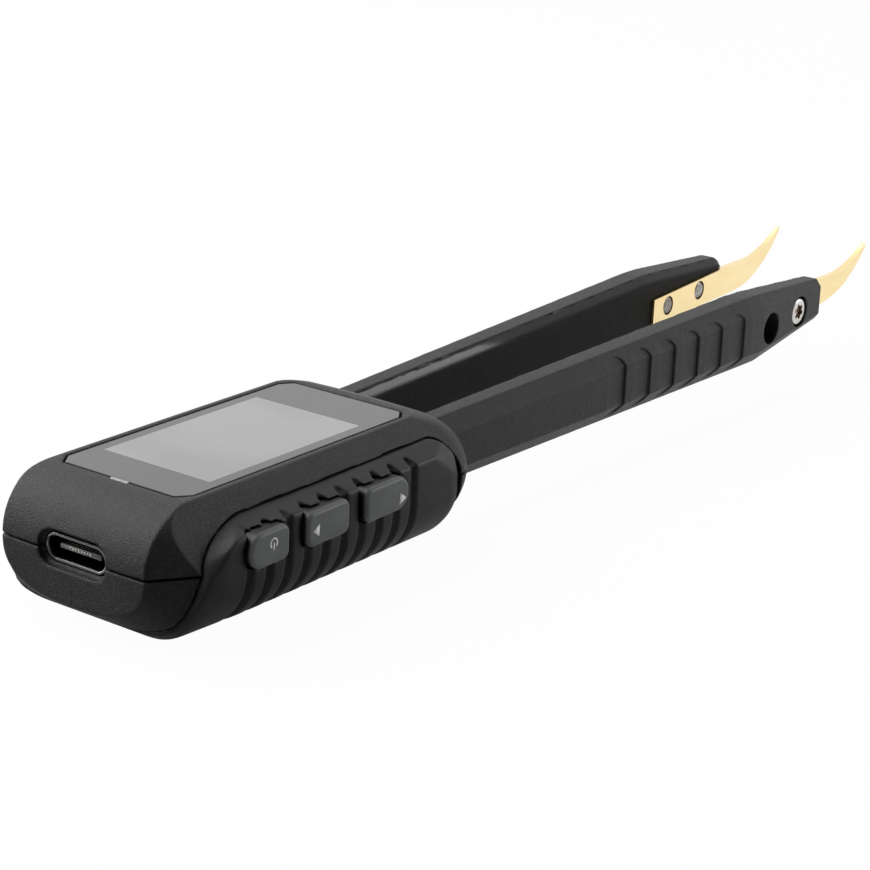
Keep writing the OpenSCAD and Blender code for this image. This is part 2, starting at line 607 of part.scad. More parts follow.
module arm_shell(side) {
    color("#2d2d2e") place() on_side(side) difference() {
        union() {
            intersection() {
                arm_form();
                arm_slice(cover_t + 0.05, 8);
            }
            along_z(lug_low, lug_high) hull() {
                translate([pin_s, pin_y]) circle(lug_r);
                translate([head_l - 2.3, arm_inner(head_l) + cover_t + 0.1])
                    square([0.3, arm_root_w - cover_t - 2]);
            }
        }
        translate([pin_s, pin_y, 0]) cylinder(h = head_h, d = pin_d + 2 * pin_gap);
        // The hollow for the lead, under the cover
        along_z(arm_low_h + arm_wall + 0.2, arm_root_h - arm_wall + 0.2) polygon([
            for (p = [[head_l + 4, cover_t - over], [lead_front + 0.5, cover_t - over]])
                [p[0], arm_inner(p[0]) + p[1]],
            for (s = [lead_front - 2.7, arm_wide - 20, head_l + 4]) [s, arm_outer(s) - arm_wall - 0.4]]);
        for (i = [0:scallop_n - 1]) scallop(i);
        for (i = [0:1]) screw_hole(i);
    }
}
module blade_profile(g) {
    // Side view of a blade: a strip that sweeps up into a curved point
    tip = arm_end + blade_reach;
    point_h = blade_front_h + blade_front_w - 0.2 + blade_rise;
    up_run = blade_reach * 0.57;
    up_r = (up_run * up_run + blade_rise * blade_rise) / (2 * blade_rise);
    low_run = blade_reach * 0.83;
    low_end = point_h - 0.8 - blade_front_h;
    low_r = (low_run * low_run + low_end * low_end) / (2 * low_end);
    function sweep(run, r, k) = [tip - run + run * k, r - sqrt(r * r - pow(run * k, 2))];
    offset(delta = g) polygon(concat(
        [[arm_end - blade_seat_l, blade_low_h], [arm_end, blade_front_h]],
        [for (k = [0:0.1:1]) sweep(low_run, low_r, k) + [0, blade_front_h]],
        [[tip, point_h - 0.35], [tip - 0.35, point_h]],
        [for (k = [0.96:-0.12:0]) sweep(up_run, up_r, k) + [0, point_h - blade_rise]],
        [[arm_end, blade_front_h + blade_front_w], [arm_end - blade_seat_l, blade_low_h + blade_w]]));
}
// Plan view: the strip lies along the arm's inner face and bends outward in front of the arm
function blade_line(offset_y) = [for (p = [[arm_end - blade_seat_l - over, 0], [arm_end, 0],
        [total_l + over, blade_bend]])
    [p[0], arm_inner(p[0]) + offset_y + (p[0] > arm_end ? (p[0] - arm_end) * tan(p[1]) : 0)]];
module blade_strip(from, to) {
    intersection() {
        along_y(-20, 20) blade_profile(0);
        along_z(0, head_h * 2) polygon(concat(blade_line(from), [for (i = [2:-1:0]) blade_line(to)[i]]));
    }
}
module arm_cover(side) {
    color("#262627") place() on_side(side) difference() {
        intersection() {
            arm_form();
            arm_slice(-over, cover_t);
        }
        intersection() {
            along_y(-20, 20) blade_profile(0.1);
            arm_slice(-over - 0.5, blade_seat_d);
        }
        for (i = [0:1]) screw_hole(i);
        box([0, 0, 0], [head_l - 1.9, 12, head_h]);
    }
}
module blade(side) {
    color("#e9cf8a") place() on_side(side) difference() {
        blade_strip(blade_seat_d - blade_t, blade_seat_d - tiny);
        for (i = [0:1]) translate([arm_end - blade_screw_back[i], 0, blade_screw_h[i]]) rotate([-90, 0, 0])
            cylinder(h = 14, d = blade_screw_d + 2 * seat_gap);
    }
}
module blade_screws(side) {
    color("#c9c6c1") place() on_side(side) for (i = [0:1]) {
        s = arm_end - blade_screw_back[i];
        head_y = arm_outer(s) - blade_screw_deep[i];
        inner_y = arm_inner(s) + blade_seat_d - blade_t + 0.1;
        translate([s, head_y, blade_screw_h[i]]) rotate([90, 0, 0])
            driven_screw(blade_head_d, 1.2 - tiny, blade_screw_d, head_y - 1.2 - inner_y);
    }
}
module lead(side) {
    s = head_l + 4.5;
    front = lead_front - 3.2;
    color("#7d2620") place() on_side(side) {
        translate([s, arm_inner(s) + arm_root_w * 0.47, (arm_low_h + arm_root_h) / 2 + 0.2])
            rotate([0, 90, arm_splay]) cylinder(h = (front - s) / cos(arm_splay), d = 1.2);
    }
}
module left_arm_shell() { arm_shell(1); }
module left_arm_cover() { arm_cover(1); }
module left_blade() { blade(1); }
module left_blade_screws() { blade_screws(1); }
module left_lead() { lead(1); }
module right_arm_shell() { arm_shell(-1); }
module right_arm_cover() { arm_cover(-1); }
module right_blade() { blade(-1); }
module right_blade_screws() { blade_screws(-1); }
module right_lead() { lead(-1); }

top_housing();
bottom_housing();
grip_sleeve();
screen_window();
lcd_module();
main_board();
battery();
usb_socket();
usb_tongue();
power_key();
menu_key();
hold_key();
key_switches();
housing_screws();
arm_springs();
left_arm_shell();
left_arm_cover();
left_blade();
left_blade_screws();
left_hinge_pin();
left_lead();
right_arm_shell();
right_arm_cover();
right_blade();
right_blade_screws();
right_hinge_pin();
right_lead();
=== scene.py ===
# %% [markdown]
# # Test tweezers for small electronic parts
# The packed model is a fixed frame: every piece below is made in its place on it. The CAD pieces that stay are
# only given finishes; the ones that can be seen are made again here with finer forms, soft edges and grooves.

# %% Load the frame
import bpy, bmesh, math
from mathutils import Matrix, Vector


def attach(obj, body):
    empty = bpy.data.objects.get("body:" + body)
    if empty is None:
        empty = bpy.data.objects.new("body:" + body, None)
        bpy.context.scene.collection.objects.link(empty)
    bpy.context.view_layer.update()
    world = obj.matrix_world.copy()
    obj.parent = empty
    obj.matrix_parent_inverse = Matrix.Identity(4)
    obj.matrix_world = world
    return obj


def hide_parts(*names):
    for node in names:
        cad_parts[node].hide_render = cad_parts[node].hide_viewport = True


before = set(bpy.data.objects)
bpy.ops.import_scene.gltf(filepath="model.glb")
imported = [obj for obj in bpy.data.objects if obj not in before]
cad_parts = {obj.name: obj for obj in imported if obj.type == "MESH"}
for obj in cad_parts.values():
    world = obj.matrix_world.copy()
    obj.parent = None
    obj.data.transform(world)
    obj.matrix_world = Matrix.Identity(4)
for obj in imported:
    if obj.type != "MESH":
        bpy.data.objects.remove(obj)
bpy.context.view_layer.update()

# %% [markdown]
# ## Camera
# The photograph looks down on the socket end from the side with the keys. The camera was fitted to the straight
# edges of the screen window, the line where the housings meet and the points of the blades. Its axes follow from
# three angles, so they are worked out here and put into one matrix: right, up and backwards, and then the place.

# %% Camera at the photograph's angle
AZIMUTH, ELEVATION, ROLL = math.radians(36.248), math.radians(18.797), math.radians(2.150)
LENS_MM, CAMERA_PLACE = 98.41, (-0.247023, -0.167393, 0.103061)
ahead = Vector((math.cos(ELEVATION) * math.cos(AZIMUTH), math.cos(ELEVATION) * math.sin(AZIMUTH),
                -math.sin(ELEVATION)))
level_right = Vector((math.sin(AZIMUTH), -math.cos(AZIMUTH), 0))
level_up = level_right.cross(ahead)
right = level_right * math.cos(ROLL) + level_up * math.sin(ROLL)
up = level_up * math.cos(ROLL) - level_right * math.sin(ROLL)
lens = bpy.data.cameras.new("photo_camera")
lens.sensor_width, lens.lens, lens.clip_start, lens.clip_end = 36, LENS_MM, 0.01, 20
camera = bpy.data.objects.new("photo_camera", lens)
axes = Matrix((right, up, -ahead)).transposed().to_4x4()
camera.matrix_world = Matrix.Translation(CAMERA_PLACE) @ axes
bpy.context.scene.collection.objects.link(camera)
bpy.context.scene.camera = camera
print("camera looks along", [round(c, 3) for c in ahead])

# %% [markdown]
# ## The bench
# Pieces are shaped in millimetres, by station along the tool, offset to the side and height. At the end they are
# moved to the frame, in metres. A small class holds a closed mesh: minus cuts another out of it, | joins the two
# and & keeps what they share, each through Blender's Boolean modifier. That reads like the way a part is machined.

# %% Closed meshes with -, | and &
LENGTH, KEY_PROUD = 164.3, 0.9
scene = bpy.context.scene


def baked(mesh, modify):
    """The mesh after modifiers: modify(object) adds them to a temporary object."""
    work = bpy.data.objects.new("work", mesh)
    scene.collection.objects.link(work)
    spare = modify(work) or []
    done = bpy.data.meshes.new_from_object(work.evaluated_get(bpy.context.evaluated_depsgraph_get()))
    for thing in [work, *spare]:
        bpy.data.objects.remove(thing)
    return done


class Solid:
    """A closed mesh on the bench."""

    def __init__(self, mesh):
        self.mesh = mesh

    def boolean(self, other, operation):
        def modify(work):
            tool = bpy.data.objects.new("tool", other.mesh)
            scene.collection.objects.link(tool)
            cut = work.modifiers.new("cut", "BOOLEAN")
            cut.object, cut.operation, cut.solver = tool, operation, "MANIFOLD"
            return [tool]
        result = Solid(baked(self.mesh, modify))
        if len(result.mesh.polygons) == 0:
            raise ValueError(f"{operation} left nothing")
        return result

    def __sub__(self, other):
        return self.boolean(other, "DIFFERENCE")

    def __or__(self, other):
        return self.boolean(other, "UNION")

    def __and__(self, other):
        return self.boolean(other, "INTERSECT")

    def turned(self, matrix):
        mesh = self.mesh.copy()
        mesh.transform(matrix)
        if matrix.determinant() < 0:
            mesh.flip_normals()
        return Solid(mesh)

    def other_side(self):
        return self.turned(Matrix.Scale(-1, 4, (0, 1, 0)))


def from_bmesh(bm):
    bmesh.ops.recalc_face_normals(bm, faces=bm.faces)
    mesh = bpy.data.meshes.new("bench")
    bm.to_mesh(mesh)
    bm.free()
    return Solid(mesh)


def together(*solids):
    """Separate solids as one mesh, without a boolean."""
    bm = bmesh.new()
    for solid in solids:
        bm.from_mesh(solid.mesh)
    return from_bmesh(bm)


def both_sides(solid):
    return together(solid, solid.other_side())


print("bench ready: from station 0 to", LENGTH, "mm")

# %% [markdown]
# Three ways give every raw form here. A prism is an outline pushed along an axis, as a saw or a punch makes it. A
# loft runs through a row of rings, and a turned piece is one, with circles for rings. A hull is the tightest skin
# round a cloud of points, and suits a moulded body whose sections change evenly.

# %% Prisms, lofts and hulls


def steps(low, high, n):
    return [low + (high - low) * i / n for i in range(n + 1)]


def arc(centre, radius, angles):
    return [(centre[0] + radius * math.cos(a), centre[1] + radius * math.sin(a)) for a in angles]


def circle(centre, radius):
    return arc(centre, radius, steps(0, 2 * math.pi, 48)[:-1])


def oblong(low, high):
    return [(low[0], low[1]), (high[0], low[1]), (high[0], high[1]), (low[0], high[1])]


def loft(rings):
    """A closed solid through rings of as many points each."""
    bm = bmesh.new()
    rings = [[bm.verts.new(p) for p in ring] for ring in rings]
    bm.faces.new(rings[0])
    bm.faces.new(rings[-1][::-1])
    for a, b in zip(rings, rings[1:]):
        for i in range(len(a)):
            j = (i + 1) % len(a)
            bm.faces.new((a[i], b[i], b[j], a[j]))
    return from_bmesh(bm)


def prism(outline, low, high, axis):
    """An outline in the plane across the axis: (y, h) for X, (s, h) for Y and (s, y) for Z."""
    at = "XYZ".index(axis)
    return loft([[(*p[:at], t, *p[at:]) for p in outline] for t in (low, high)])


def block(low, high):
    return prism(oblong(low, high), low[2], high[2], "Z")


def post(centre, radius, low, high):
    return prism(circle(centre, radius), low, high, "Z")


def posts(centres, radius, low, high):
    return together(*[post(centre, radius, low, high) for centre in centres])


def lathe(profile):
    """A turned piece round the upright axis, from a line of (radius, height)."""
    return loft([[(*p, h) for p in circle((0, 0), radius)] for radius, h in profile])


def hull(points):
    bm = bmesh.new()
    for p in points:
        bm.verts.new(p)
    bmesh.ops.remove_doubles(bm, verts=bm.verts, dist=0.002)
    out = bmesh.ops.convex_hull(bm, input=bm.verts)
    inner = {v for v in out["geom_interior"] + out["geom_unused"] if isinstance(v, bmesh.types.BMVert)}
    bmesh.ops.delete(bm, geom=list(inner), context="VERTS")
    return from_bmesh(bm)


print("prism of a 2 mm circle:", len(post((0, 0), 1, 0, 1).mesh.polygons), "faces")

# %% Outlines, grown, rounded and smooth


def corners(outline):
    return zip(outline[-1:] + outline[:-1], outline, outline[1:] + outline[:1])


def grown(outline, by):
    """The outline moved outward by a distance, with its corners kept."""
    area = sum(a[0] * b[1] - b[0] * a[1] for a, b in zip(outline, outline[1:] + outline[:1]))
    turn, result = math.copysign(1, area), []
    for before, here, after in corners(outline):
        a = Vector((here[0] - before[0], here[1] - before[1])).normalized()
        b = Vector((after[0] - here[0], after[1] - here[1])).normalized()
        out_a, out_b = Vector((a.y, -a.x)) * turn, Vector((b.y, -b.x)) * turn
        corner = (out_a + out_b) / max(1 + out_a.dot(out_b), 0.2)
        result.append((here[0] + corner.x * by, here[1] + corner.y * by))
    return result


def rounded(outline, radius, n=8):
    """The outline with an arc in every corner."""
    result = []
    for before, here, after in corners(outline):
        here = Vector(here)
        a, b = Vector(before) - here, Vector(after) - here
        half = a.angle(b) / 2
        reach = min(radius / math.tan(half), a.length * 0.499, b.length * 0.499)
        r = reach * math.tan(half)
        middle = here + (a.normalized() + b.normalized()).normalized() * (r / math.sin(half))
        start, end = here + a.normalized() * reach - middle, here + b.normalized() * reach - middle
        for turn in steps(0, -start.angle_signed(end), n):
            result.append((middle.x + start.x * math.cos(turn) - start.y * math.sin(turn),
                           middle.y + start.x * math.sin(turn) + start.y * math.cos(turn)))
    return result


def smooth_line(points, n):
    """A smooth line through points, with n steps from each to the next."""
    points = [Vector(p) for p in points]
    padded = [points[0] * 2 - points[1], *points, points[-1] * 2 - points[-2]]
    line = []
    for p, q, r, s in zip(padded, padded[1:], padded[2:], padded[3:]):
        for t in steps(0, 1, n)[:-1]:
            line.append(tuple(0.5 * (2 * q + (r - p) * t + (2 * p - 5 * q + 4 * r - s) * t * t
                                     + (3 * q - p - 3 * r + s) * t ** 3)))
    return line + [tuple(points[-1])]


print("a rounded square has", len(rounded(oblong((0, 0), (1, 1)), 0.1)), "points")

# %% [markdown]
# Moulded plastic has no knife edges: each edge is rounded by a tenth or two of a millimetre, and that is what
# catches the light. A voxel remesh turns a machined form into an even skin, a few smoothing steps round every
# edge and melt the steps of the cuts, and a decimate takes away the faces that flat areas don't need. Metal
# pieces are crisper, so they get a narrow bevel instead.

# %% Soft edges, crisp edges, and putting a piece in the frame
coarse = 1.0


def softened(solid, voxel, smooth, keep):
    """Edges rounded on a grid of voxel mm by some rounds of smoothing; a share of the faces is kept."""
    def modify(work):
        remesh = work.modifiers.new("skin", "REMESH")
        remesh.mode, remesh.voxel_size = "VOXEL", voxel * coarse
        relax = work.modifiers.new("round", "SMOOTH")
        relax.iterations, relax.factor = smooth, 0.5
        work.modifiers.new("thin_out", "DECIMATE").ratio = keep
    return Solid(baked(solid.mesh, modify))


def bevelled(solid, width, segments, angle=25):
    """Every edge sharper than the angle gets a narrow bevel."""
    def modify(work):
        bevel = work.modifiers.new("edge", "BEVEL")
        bevel.width, bevel.segments = width, segments
        bevel.limit_method, bevel.angle_limit = "ANGLE", math.radians(angle)
        bevel.use_clamp_overlap = bevel.harden_normals = True
    return Solid(baked(solid.mesh, modify))


pieces = {}


def settle(solid, name, body, nodes=(), smooth_angle=None):
    mesh = solid.mesh.copy()
    mesh.transform(Matrix.Scale(0.001, 4) @ Matrix.Translation((-LENGTH / 2, KEY_PROUD / 2, 0)))
    mesh.name = name
    mesh.shade_smooth()
    if smooth_angle is not None:
        mesh.set_sharp_from_angle(angle=math.radians(smooth_angle))
    piece = bpy.data.objects.new(name, mesh)
    scene.collection.objects.link(piece)
    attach(piece, body)
    if nodes:
        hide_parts(*nodes)
    pieces[name] = piece
    print(f"{name}: {len(mesh.polygons)} faces, rides on {body}")


def settle_pair(solid, name, node, smooth_angle=None):
    """A piece of the left arm, and its mirror image on the right one."""
    for side, made in (("left", solid), ("right", solid.other_side())):
        settle(made, f"{side}_{name}", f"{side}_arm", [f"{side}_{node}"], smooth_angle)


print("voxels are", coarse, "times the size that each piece asks for")

# %% [markdown]
# ## Form of the head
# The head is two moulded half shells that meet on a level line. Above it the sides lean in to a flat top and the
# rear end is a quarter barrel between two corner facets; the front face bows a little, and its sides spread to
# the width of the grip. Below it the section is a rounded box. Each height gives one ring of points for one
# side, and the hull of all rings and their mirror images is the form. An inset gives the floor of the recess
# that the rubber lies in.

# %% Rings of the head's outer form
HEAD_H, SPLIT_H, TOP_HALF_W, SPLIT_HALF_W = 15.8, 8.87, 10.2, 14.1
REAR_ROUND, FRONT_ROUND, REAR_HALF_W, FACET = 7.0, 5.5, 10.45, math.tan(math.radians(35.3))
REAR_BOW, FRONT_BOW, FRONT_R, REAR_LOW_H, GRIP_T = 0.17, 0.6, 4.0, 3.3, 1.2
GRIP_HALF_W, GRIP_EDGE_T, HEAD_L = 15.4, 0.5, 53.0
TOP_RISE, LOW_RISE, FRONT_BELLY, LOW_BELLY = HEAD_H - SPLIT_H, SPLIT_H - GRIP_T, 1.6, 3.2
FRONT_DROP, FRONT_TOP_R, CREASE_R = 4.6, 2.4, 0.4
FACET_L = (SPLIT_HALF_W - REAR_HALF_W) / FACET
BEVEL_L = (REAR_LOW_H - GRIP_T) / math.tan(math.radians(34))


def half_w(share, low):
    return TOP_HALF_W + (low - TOP_HALF_W) * share


def front_ring(w, front, r, h):
    ring = [(front - FRONT_BOW * (k * (w - r) / w) ** 2, k * (w - r), h) for k in steps(0, 1, 6)]
    return ring + [(*p, h) for p in arc((front - FRONT_BOW - r, w - r), r, steps(0.13, math.pi / 2, 11))]


def rear_ring(rear, crease, w, h):
    """Bowed rear face, a small fillet at the crease, and the facet."""
    turn, x = math.pi / 2 - math.atan(FACET), rear + REAR_BOW
    r = min(CREASE_R, w - crease)
    y = crease - r * math.tan(turn / 2)
    ring = [(rear + REAR_BOW * k * k, crease * k, h) for k in steps(0, 0.9, 5)]
    ring += [(x + r - r * math.cos(a), y + r * math.sin(a), h) for a in steps(0, turn, 6)]
    return ring + [(x + (w - crease) / FACET, w, h)]


def upper_points(grow, inset):
    low, points = SPLIT_HALF_W - inset, []
    front_low = low if inset else GRIP_HALF_W
    for a in steps(0, math.pi / 2, 26):
        w = half_w(1 - math.sin(a), low) + grow - inset * math.sin(a)
        points += rear_ring(REAR_ROUND * (1 - math.cos(a)) - grow + inset, min(REAR_HALF_W - inset, w), w,
                            SPLIT_H + TOP_RISE * math.sin(a))
    for u in steps(0, 0.7, 10) + steps(0.74, 1, 12):
        points += front_ring(half_w(1 - u ** FRONT_BELLY, front_low) + grow - inset * u,
                             HEAD_L - FRONT_ROUND * u ** FRONT_DROP + grow - inset,
                             FRONT_TOP_R + (FRONT_R - FRONT_TOP_R) * (1 - u), SPLIT_H + TOP_RISE * u)
    return points


def bowl(s, w, deep, n):
    """Half of a rounded box's section: the higher n, the squarer."""
    return [(s, w * math.cos(a) ** (2 / n), SPLIT_H - deep * math.sin(a) ** (2 / n))
            for a in steps(0, math.pi / 2 - 1e-6, 24)]


def lower_points(grow, inset):
    d, mid = grow - inset, BEVEL_L * 0.92
    w, deep = SPLIT_HALF_W + d, LOW_RISE + d
    front_low = w if inset else GRIP_HALF_W + d
    points = rear_ring(-d, REAR_HALF_W - inset, w, SPLIT_H)
    points += [(p[0] - d + REAR_BOW * (p[1] / REAR_HALF_W) ** 2, p[1], p[2])
               for p in bowl(0, REAR_HALF_W - inset, SPLIT_H - REAR_LOW_H + d, 2.6)]
    points += bowl(REAR_BOW + mid, REAR_HALF_W + mid * FACET + d, deep - 0.1, 5)
    points += bowl(REAR_BOW + FACET_L, w, deep, 3.6)
    for v in steps(0, 0.98, 18):
        wide = front_low * (1 - v ** LOW_BELLY) ** (1 / LOW_BELLY)
        points += front_ring(wide, HEAD_L - FRONT_ROUND * 0.9 * v ** 1.5 + d, min(FRONT_R, wide * 0.9),
                             SPLIT_H - deep * v)
    return points


def mirrored(points):
    return points + [(p[0], -p[1], p[2]) for p in points]


def core(grow, inset=GRIP_EDGE_T):
    return hull(mirrored(upper_points(grow, inset) + lower_points(grow, inset)))


top_form, low_form = hull(mirrored(upper_points(0, 0))), hull(mirrored(lower_points(0, 0)))
print("outer forms:", len(top_form.mesh.polygons), "and", len(low_form.mesh.polygons), "faces")

# %% [markdown]
# The rubber lies in a recess, and its edge shows as a dark line that sweeps up the side, along under the window
# and round the front corner. Seen from the side that edge is one outline, so the same prism cuts the recess into
# the housings and trims the rubber.

# %% Outline of the grip, seen from the side
GRIP_REAR, GRIP_FRONT, GRIP_TOP_H, CORNER = 2.4, HEAD_L - 4.4, 13.2, (7.8, 4.2)
CORNER_S, FRONT_CORNER, FRONT_LOW_H = 5.4 + CORNER[0], 3.5, SPLIT_H + 0.6


def grip_edge(grow):
    line = smooth_line([(GRIP_REAR, 1.2), (2.5, 1.9), (2.8, 2.6), (3.7, 4.1), (4.6, 6.3), (5, 7.8), (5.4, 9.0)],
                       5)[:-1]
    line += [(CORNER_S - CORNER[0] * max(math.cos(a), 0) ** 1.3,
              GRIP_TOP_H - CORNER[1] * (1 - math.sin(a) ** 1.3)) for a in steps(0, math.pi / 2, 24)]
    line += [(GRIP_FRONT - FRONT_CORNER + FRONT_CORNER * math.cos(a),
              FRONT_LOW_H + (GRIP_TOP_H + 0.4 - FRONT_LOW_H) * math.sin(a)) for a in steps(math.pi / 2, 0, 20)]
    line += [(GRIP_FRONT, 7.4), (GRIP_FRONT - 0.1, 4.5), (GRIP_FRONT - 0.4, 2), (GRIP_FRONT - 0.6, -1),
             (GRIP_REAR, -1)]
    return grown(line, grow)


def across(outline, low=-20, high=20):
    """A prism along y, from side to side unless it is told how far."""
    return prism(outline, low, high, "Y")


GAP, MOVE_GAP = 0.15, 0.3
recess = across(grip_edge(GAP)) - core(0)
print("recess for the rubber: from station", round(GRIP_REAR - GAP, 2), "to", round(GRIP_FRONT + GAP, 2), "mm")

# %% [markdown]
# ## Upper housing
# This shell carries the window in a shallow pocket and is hollow for the board, so it is cut as the real mould
# would leave it: recess, hollow, pocket, socket opening and the two ways through for the arms. The line between
# the shells is a shallow groove all round, cut half into each of them, because two faces that only touch don't
# show a joint.

# %% Openings that both housings share
PIN_S, LUG_R, PIN_D, HOLE_R = HEAD_L - 6.5, 2.7, 2.0, 1.01
ARM_GAP, ARM_ROOT_W, ARM_WIDE_W, ARM_END_W, ARM_L, ARM_WIDE_L = 4.5, 4.95, 5.7, 4.2, 92.8, 71.0
ARM_LOW_H, ARM_ROOT_H, ARM_TOP_H, ARM_END_TOP_H, ARM_END_LOW_H, COVER_T = 4.5, 13.05, 14.38, 12.95, 7.0, 1.05
PIN_Y, SPLAY = ARM_GAP + LUG_R - 0.5, math.tan(math.radians(1.3))
LUG_LOW, LUG_HIGH, ROOF_H = ARM_LOW_H + 0.9, ARM_ROOT_H - 1.25, HEAD_H - 1.0 - 1.6
ARM_END, ARM_WIDE = HEAD_L + ARM_L, HEAD_L + ARM_WIDE_L
SWING_REACH, SWING_DEG = 7.5, 3.5
PINS, SCREWS = [(PIN_S, PIN_Y), (PIN_S, -PIN_Y)], [(REAR_ROUND, 8.8), (REAR_ROUND, -8.8), (PIN_S, 0)]
POST_R, LOW_POST_R, SHANK_WAY_R, SCREW_HEAD_R, STEM_R = 2.2, 2.4, 1.15, 2.05, 0.7
SCREW_TOP_H, PIN_FOOT_H = 12.7, 3.1
USB_H, USB_W, USB_T, USB_IN = 9.09, 8.94, 3.16, 0.9
KEY_S, KEY_L, KEY_W, KEY_H = (10.35, 19.6, 29.65), (6.3, 7.25, 7.85), 4.1, 10.3
STEM_H = SPLIT_H + 0.7 + GAP + 0.05


def arm_section(y, w, top, low, k=1.0):
    """Eight corners of an arm's section; k is the share of its outer bevels."""
    return [(y, low + 1), (y, top - 1.45), (y + COVER_T, top), (y + w - 1.6 * k, top), (y + w, top - 2.15 * k),
            (y + w, low + 1.9 * k), (y + w - 1.4 * k, low), (y + 0.95, low)]


def stadium(w, h, r):
    return rounded(oblong((-w / 2, USB_H - h / 2), (w / 2, USB_H + h / 2)), r, 12)


swing = SWING_REACH * math.sin(math.radians(SWING_DEG))
way = [p for move in (0, swing)
       for p in arm_section(ARM_GAP - 0.1 - move, ARM_ROOT_W + 0.1, ARM_ROOT_H + 0.1, ARM_LOW_H)]
arm_ways = both_sides(hull([(s, y + math.copysign(MOVE_GAP, y - 8), h + math.copysign(MOVE_GAP, h - 9))
                            for s in (HEAD_L - 5, HEAD_L + 1) for y, h in way]))
socket_way = prism(stadium(USB_W + 0.9, USB_T + 0.9, 1.7), -1, USB_IN, "X") | \
    prism(stadium(USB_W + 0.3, USB_T + 0.3, 1.6), 0, REAR_ROUND, "X")
joint_line = block((-2, -18, SPLIT_H - 0.1), (56, 18, SPLIT_H + 0.1)) - core(0, 1.1)
print("openings: two arms, one socket; swing inside the head", round(swing, 2), "mm")

# %% Upper housing


def hollow(w):
    """Plan of the hollow, w to each side of the middle."""
    line = [(3.2, w - 3.4), (7.2, w), (HEAD_L - 4.4, w)]
    return rounded(line + [(s, -y) for s, y in reversed(line)], 1)


def side_half_w(h):
    return half_w(1 - (h - SPLIT_H) / TOP_RISE, SPLIT_HALF_W)


BOARD_TOP, WALL, LEDGE_W = USB_H + USB_T / 2 + 1.0, 1.5, SPLIT_HALF_W - 2.4
WINDOW = [(8.95, -9.27), (44.35, -9.27), (46.05, -8.07), (46.05, 8.07), (44.35, 9.27), (8.95, 9.27),
          (7.25, 8.07), (7.25, -8.07)]
upper = top_form - recess - prism(hollow(LEDGE_W), SPLIT_H - 1, SPLIT_H + 1.4, "Z")
for high in (BOARD_TOP + 0.2, ROOF_H):
    upper -= prism(hollow(side_half_w(high) - WALL), SPLIT_H, high, "Z")
upper |= posts(SCREWS, POST_R, SPLIT_H, ROOF_H + 0.02)
upper -= prism(grown(WINDOW, 0.2), HEAD_H - 1.05, HEAD_H + 1, "Z")
upper -= block((11.1, -8.65, ROOF_H - 1), (40.7, 8.65, HEAD_H))
upper = upper - arm_ways - socket_way - joint_line
upper -= posts(SCREWS, HOLE_R, SPLIT_H - 1, SCREW_TOP_H)
upper -= posts(PINS, HOLE_R, SPLIT_H, ROOF_H + 1.1)
upper -= together(*[across(circle((s + l / 2, STEM_H), STEM_R + GAP), -16, -11) for s, l in zip(KEY_S, KEY_L)])
settle(softened(upper, 0.13, 6, 0.4), "upper_housing", "head", ["top_housing"])

# %% [markdown]
# ## Lower housing
# The lower shell is a rounded box with a shallow hollow for the battery. Under the socket its rear face carries
# the fine upright line that the two halves of the mould leave, which is made in the finish, as it stands out by
# only a few hundredths of a millimetre.

# %% Lower housing
FLOOR_H = GRIP_T + GRIP_EDGE_T + 1.3
SEAT_H = FLOOR_H + 0.7
lower = low_form - recess - prism(hollow(9.8), FLOOR_H, SPLIT_H + 1, "Z")
lower -= prism(hollow(LEDGE_W), FLOOR_H + 2.3, SPLIT_H + 1, "Z")
lower |= posts(SCREWS, LOW_POST_R, FLOOR_H - 0.1, SPLIT_H)
lower |= posts(PINS, PIN_D, FLOOR_H - 0.02, LUG_LOW - 2 * GAP)
lower = lower - arm_ways - socket_way - joint_line
lower = lower - posts(SCREWS, SHANK_WAY_R, 0, HEAD_H) - posts(SCREWS, SCREW_HEAD_R, 0, SEAT_H)
lower -= posts(PINS, HOLE_R, PIN_FOOT_H, HEAD_H)
lower -= together(*[across(circle((HEAD_L - 1.8, 6.7), 1.65), *reach) for reach in ((0.6, 6.6), (-6.6, -0.6))])
settle(softened(lower, 0.15, 3, 0.3), "lower_housing", "head", ["bottom_housing"])

# %% [markdown]
# ## Rubber grip
# One sleeve of soft rubber goes round the sides and the bottom. Ten ribs run down each side: the grooves between
# them start at the shoulder, are soft in section and end under the belly. Each groove is cut four times,
# narrower and deeper, down to an inner copy of the sleeve's own form, so that its floor follows the curve; the
# smoothing then melts the steps into one round trough. Where a groove crosses the crease, half an egg is
# scooped out of the leaning shoulder, so that the groove starts in a small deep dent.

# %% Rubber grip


def seam_half_w(s, h):
    k = (s - 5) / (HEAD_L - 10)
    return half_w(1 - ((h - SPLIT_H) / TOP_RISE) ** (1 + (FRONT_BELLY - 1) * k),
                  SPLIT_HALF_W + (GRIP_HALF_W - SPLIT_HALF_W) * k)


SHOULDER_H, INSIDE = 12.45, 0.02


def grip_ring(s, w, shoulder, low, belly_w, belly_h):
    curve = [(s, w - belly_w * (1 - math.cos(a)), low + belly_h * (1 - math.sin(a)))
             for a in steps(0, math.pi / 2, 20)]
    return [(s, w, shoulder)] + curve + [(s, 0, low)]


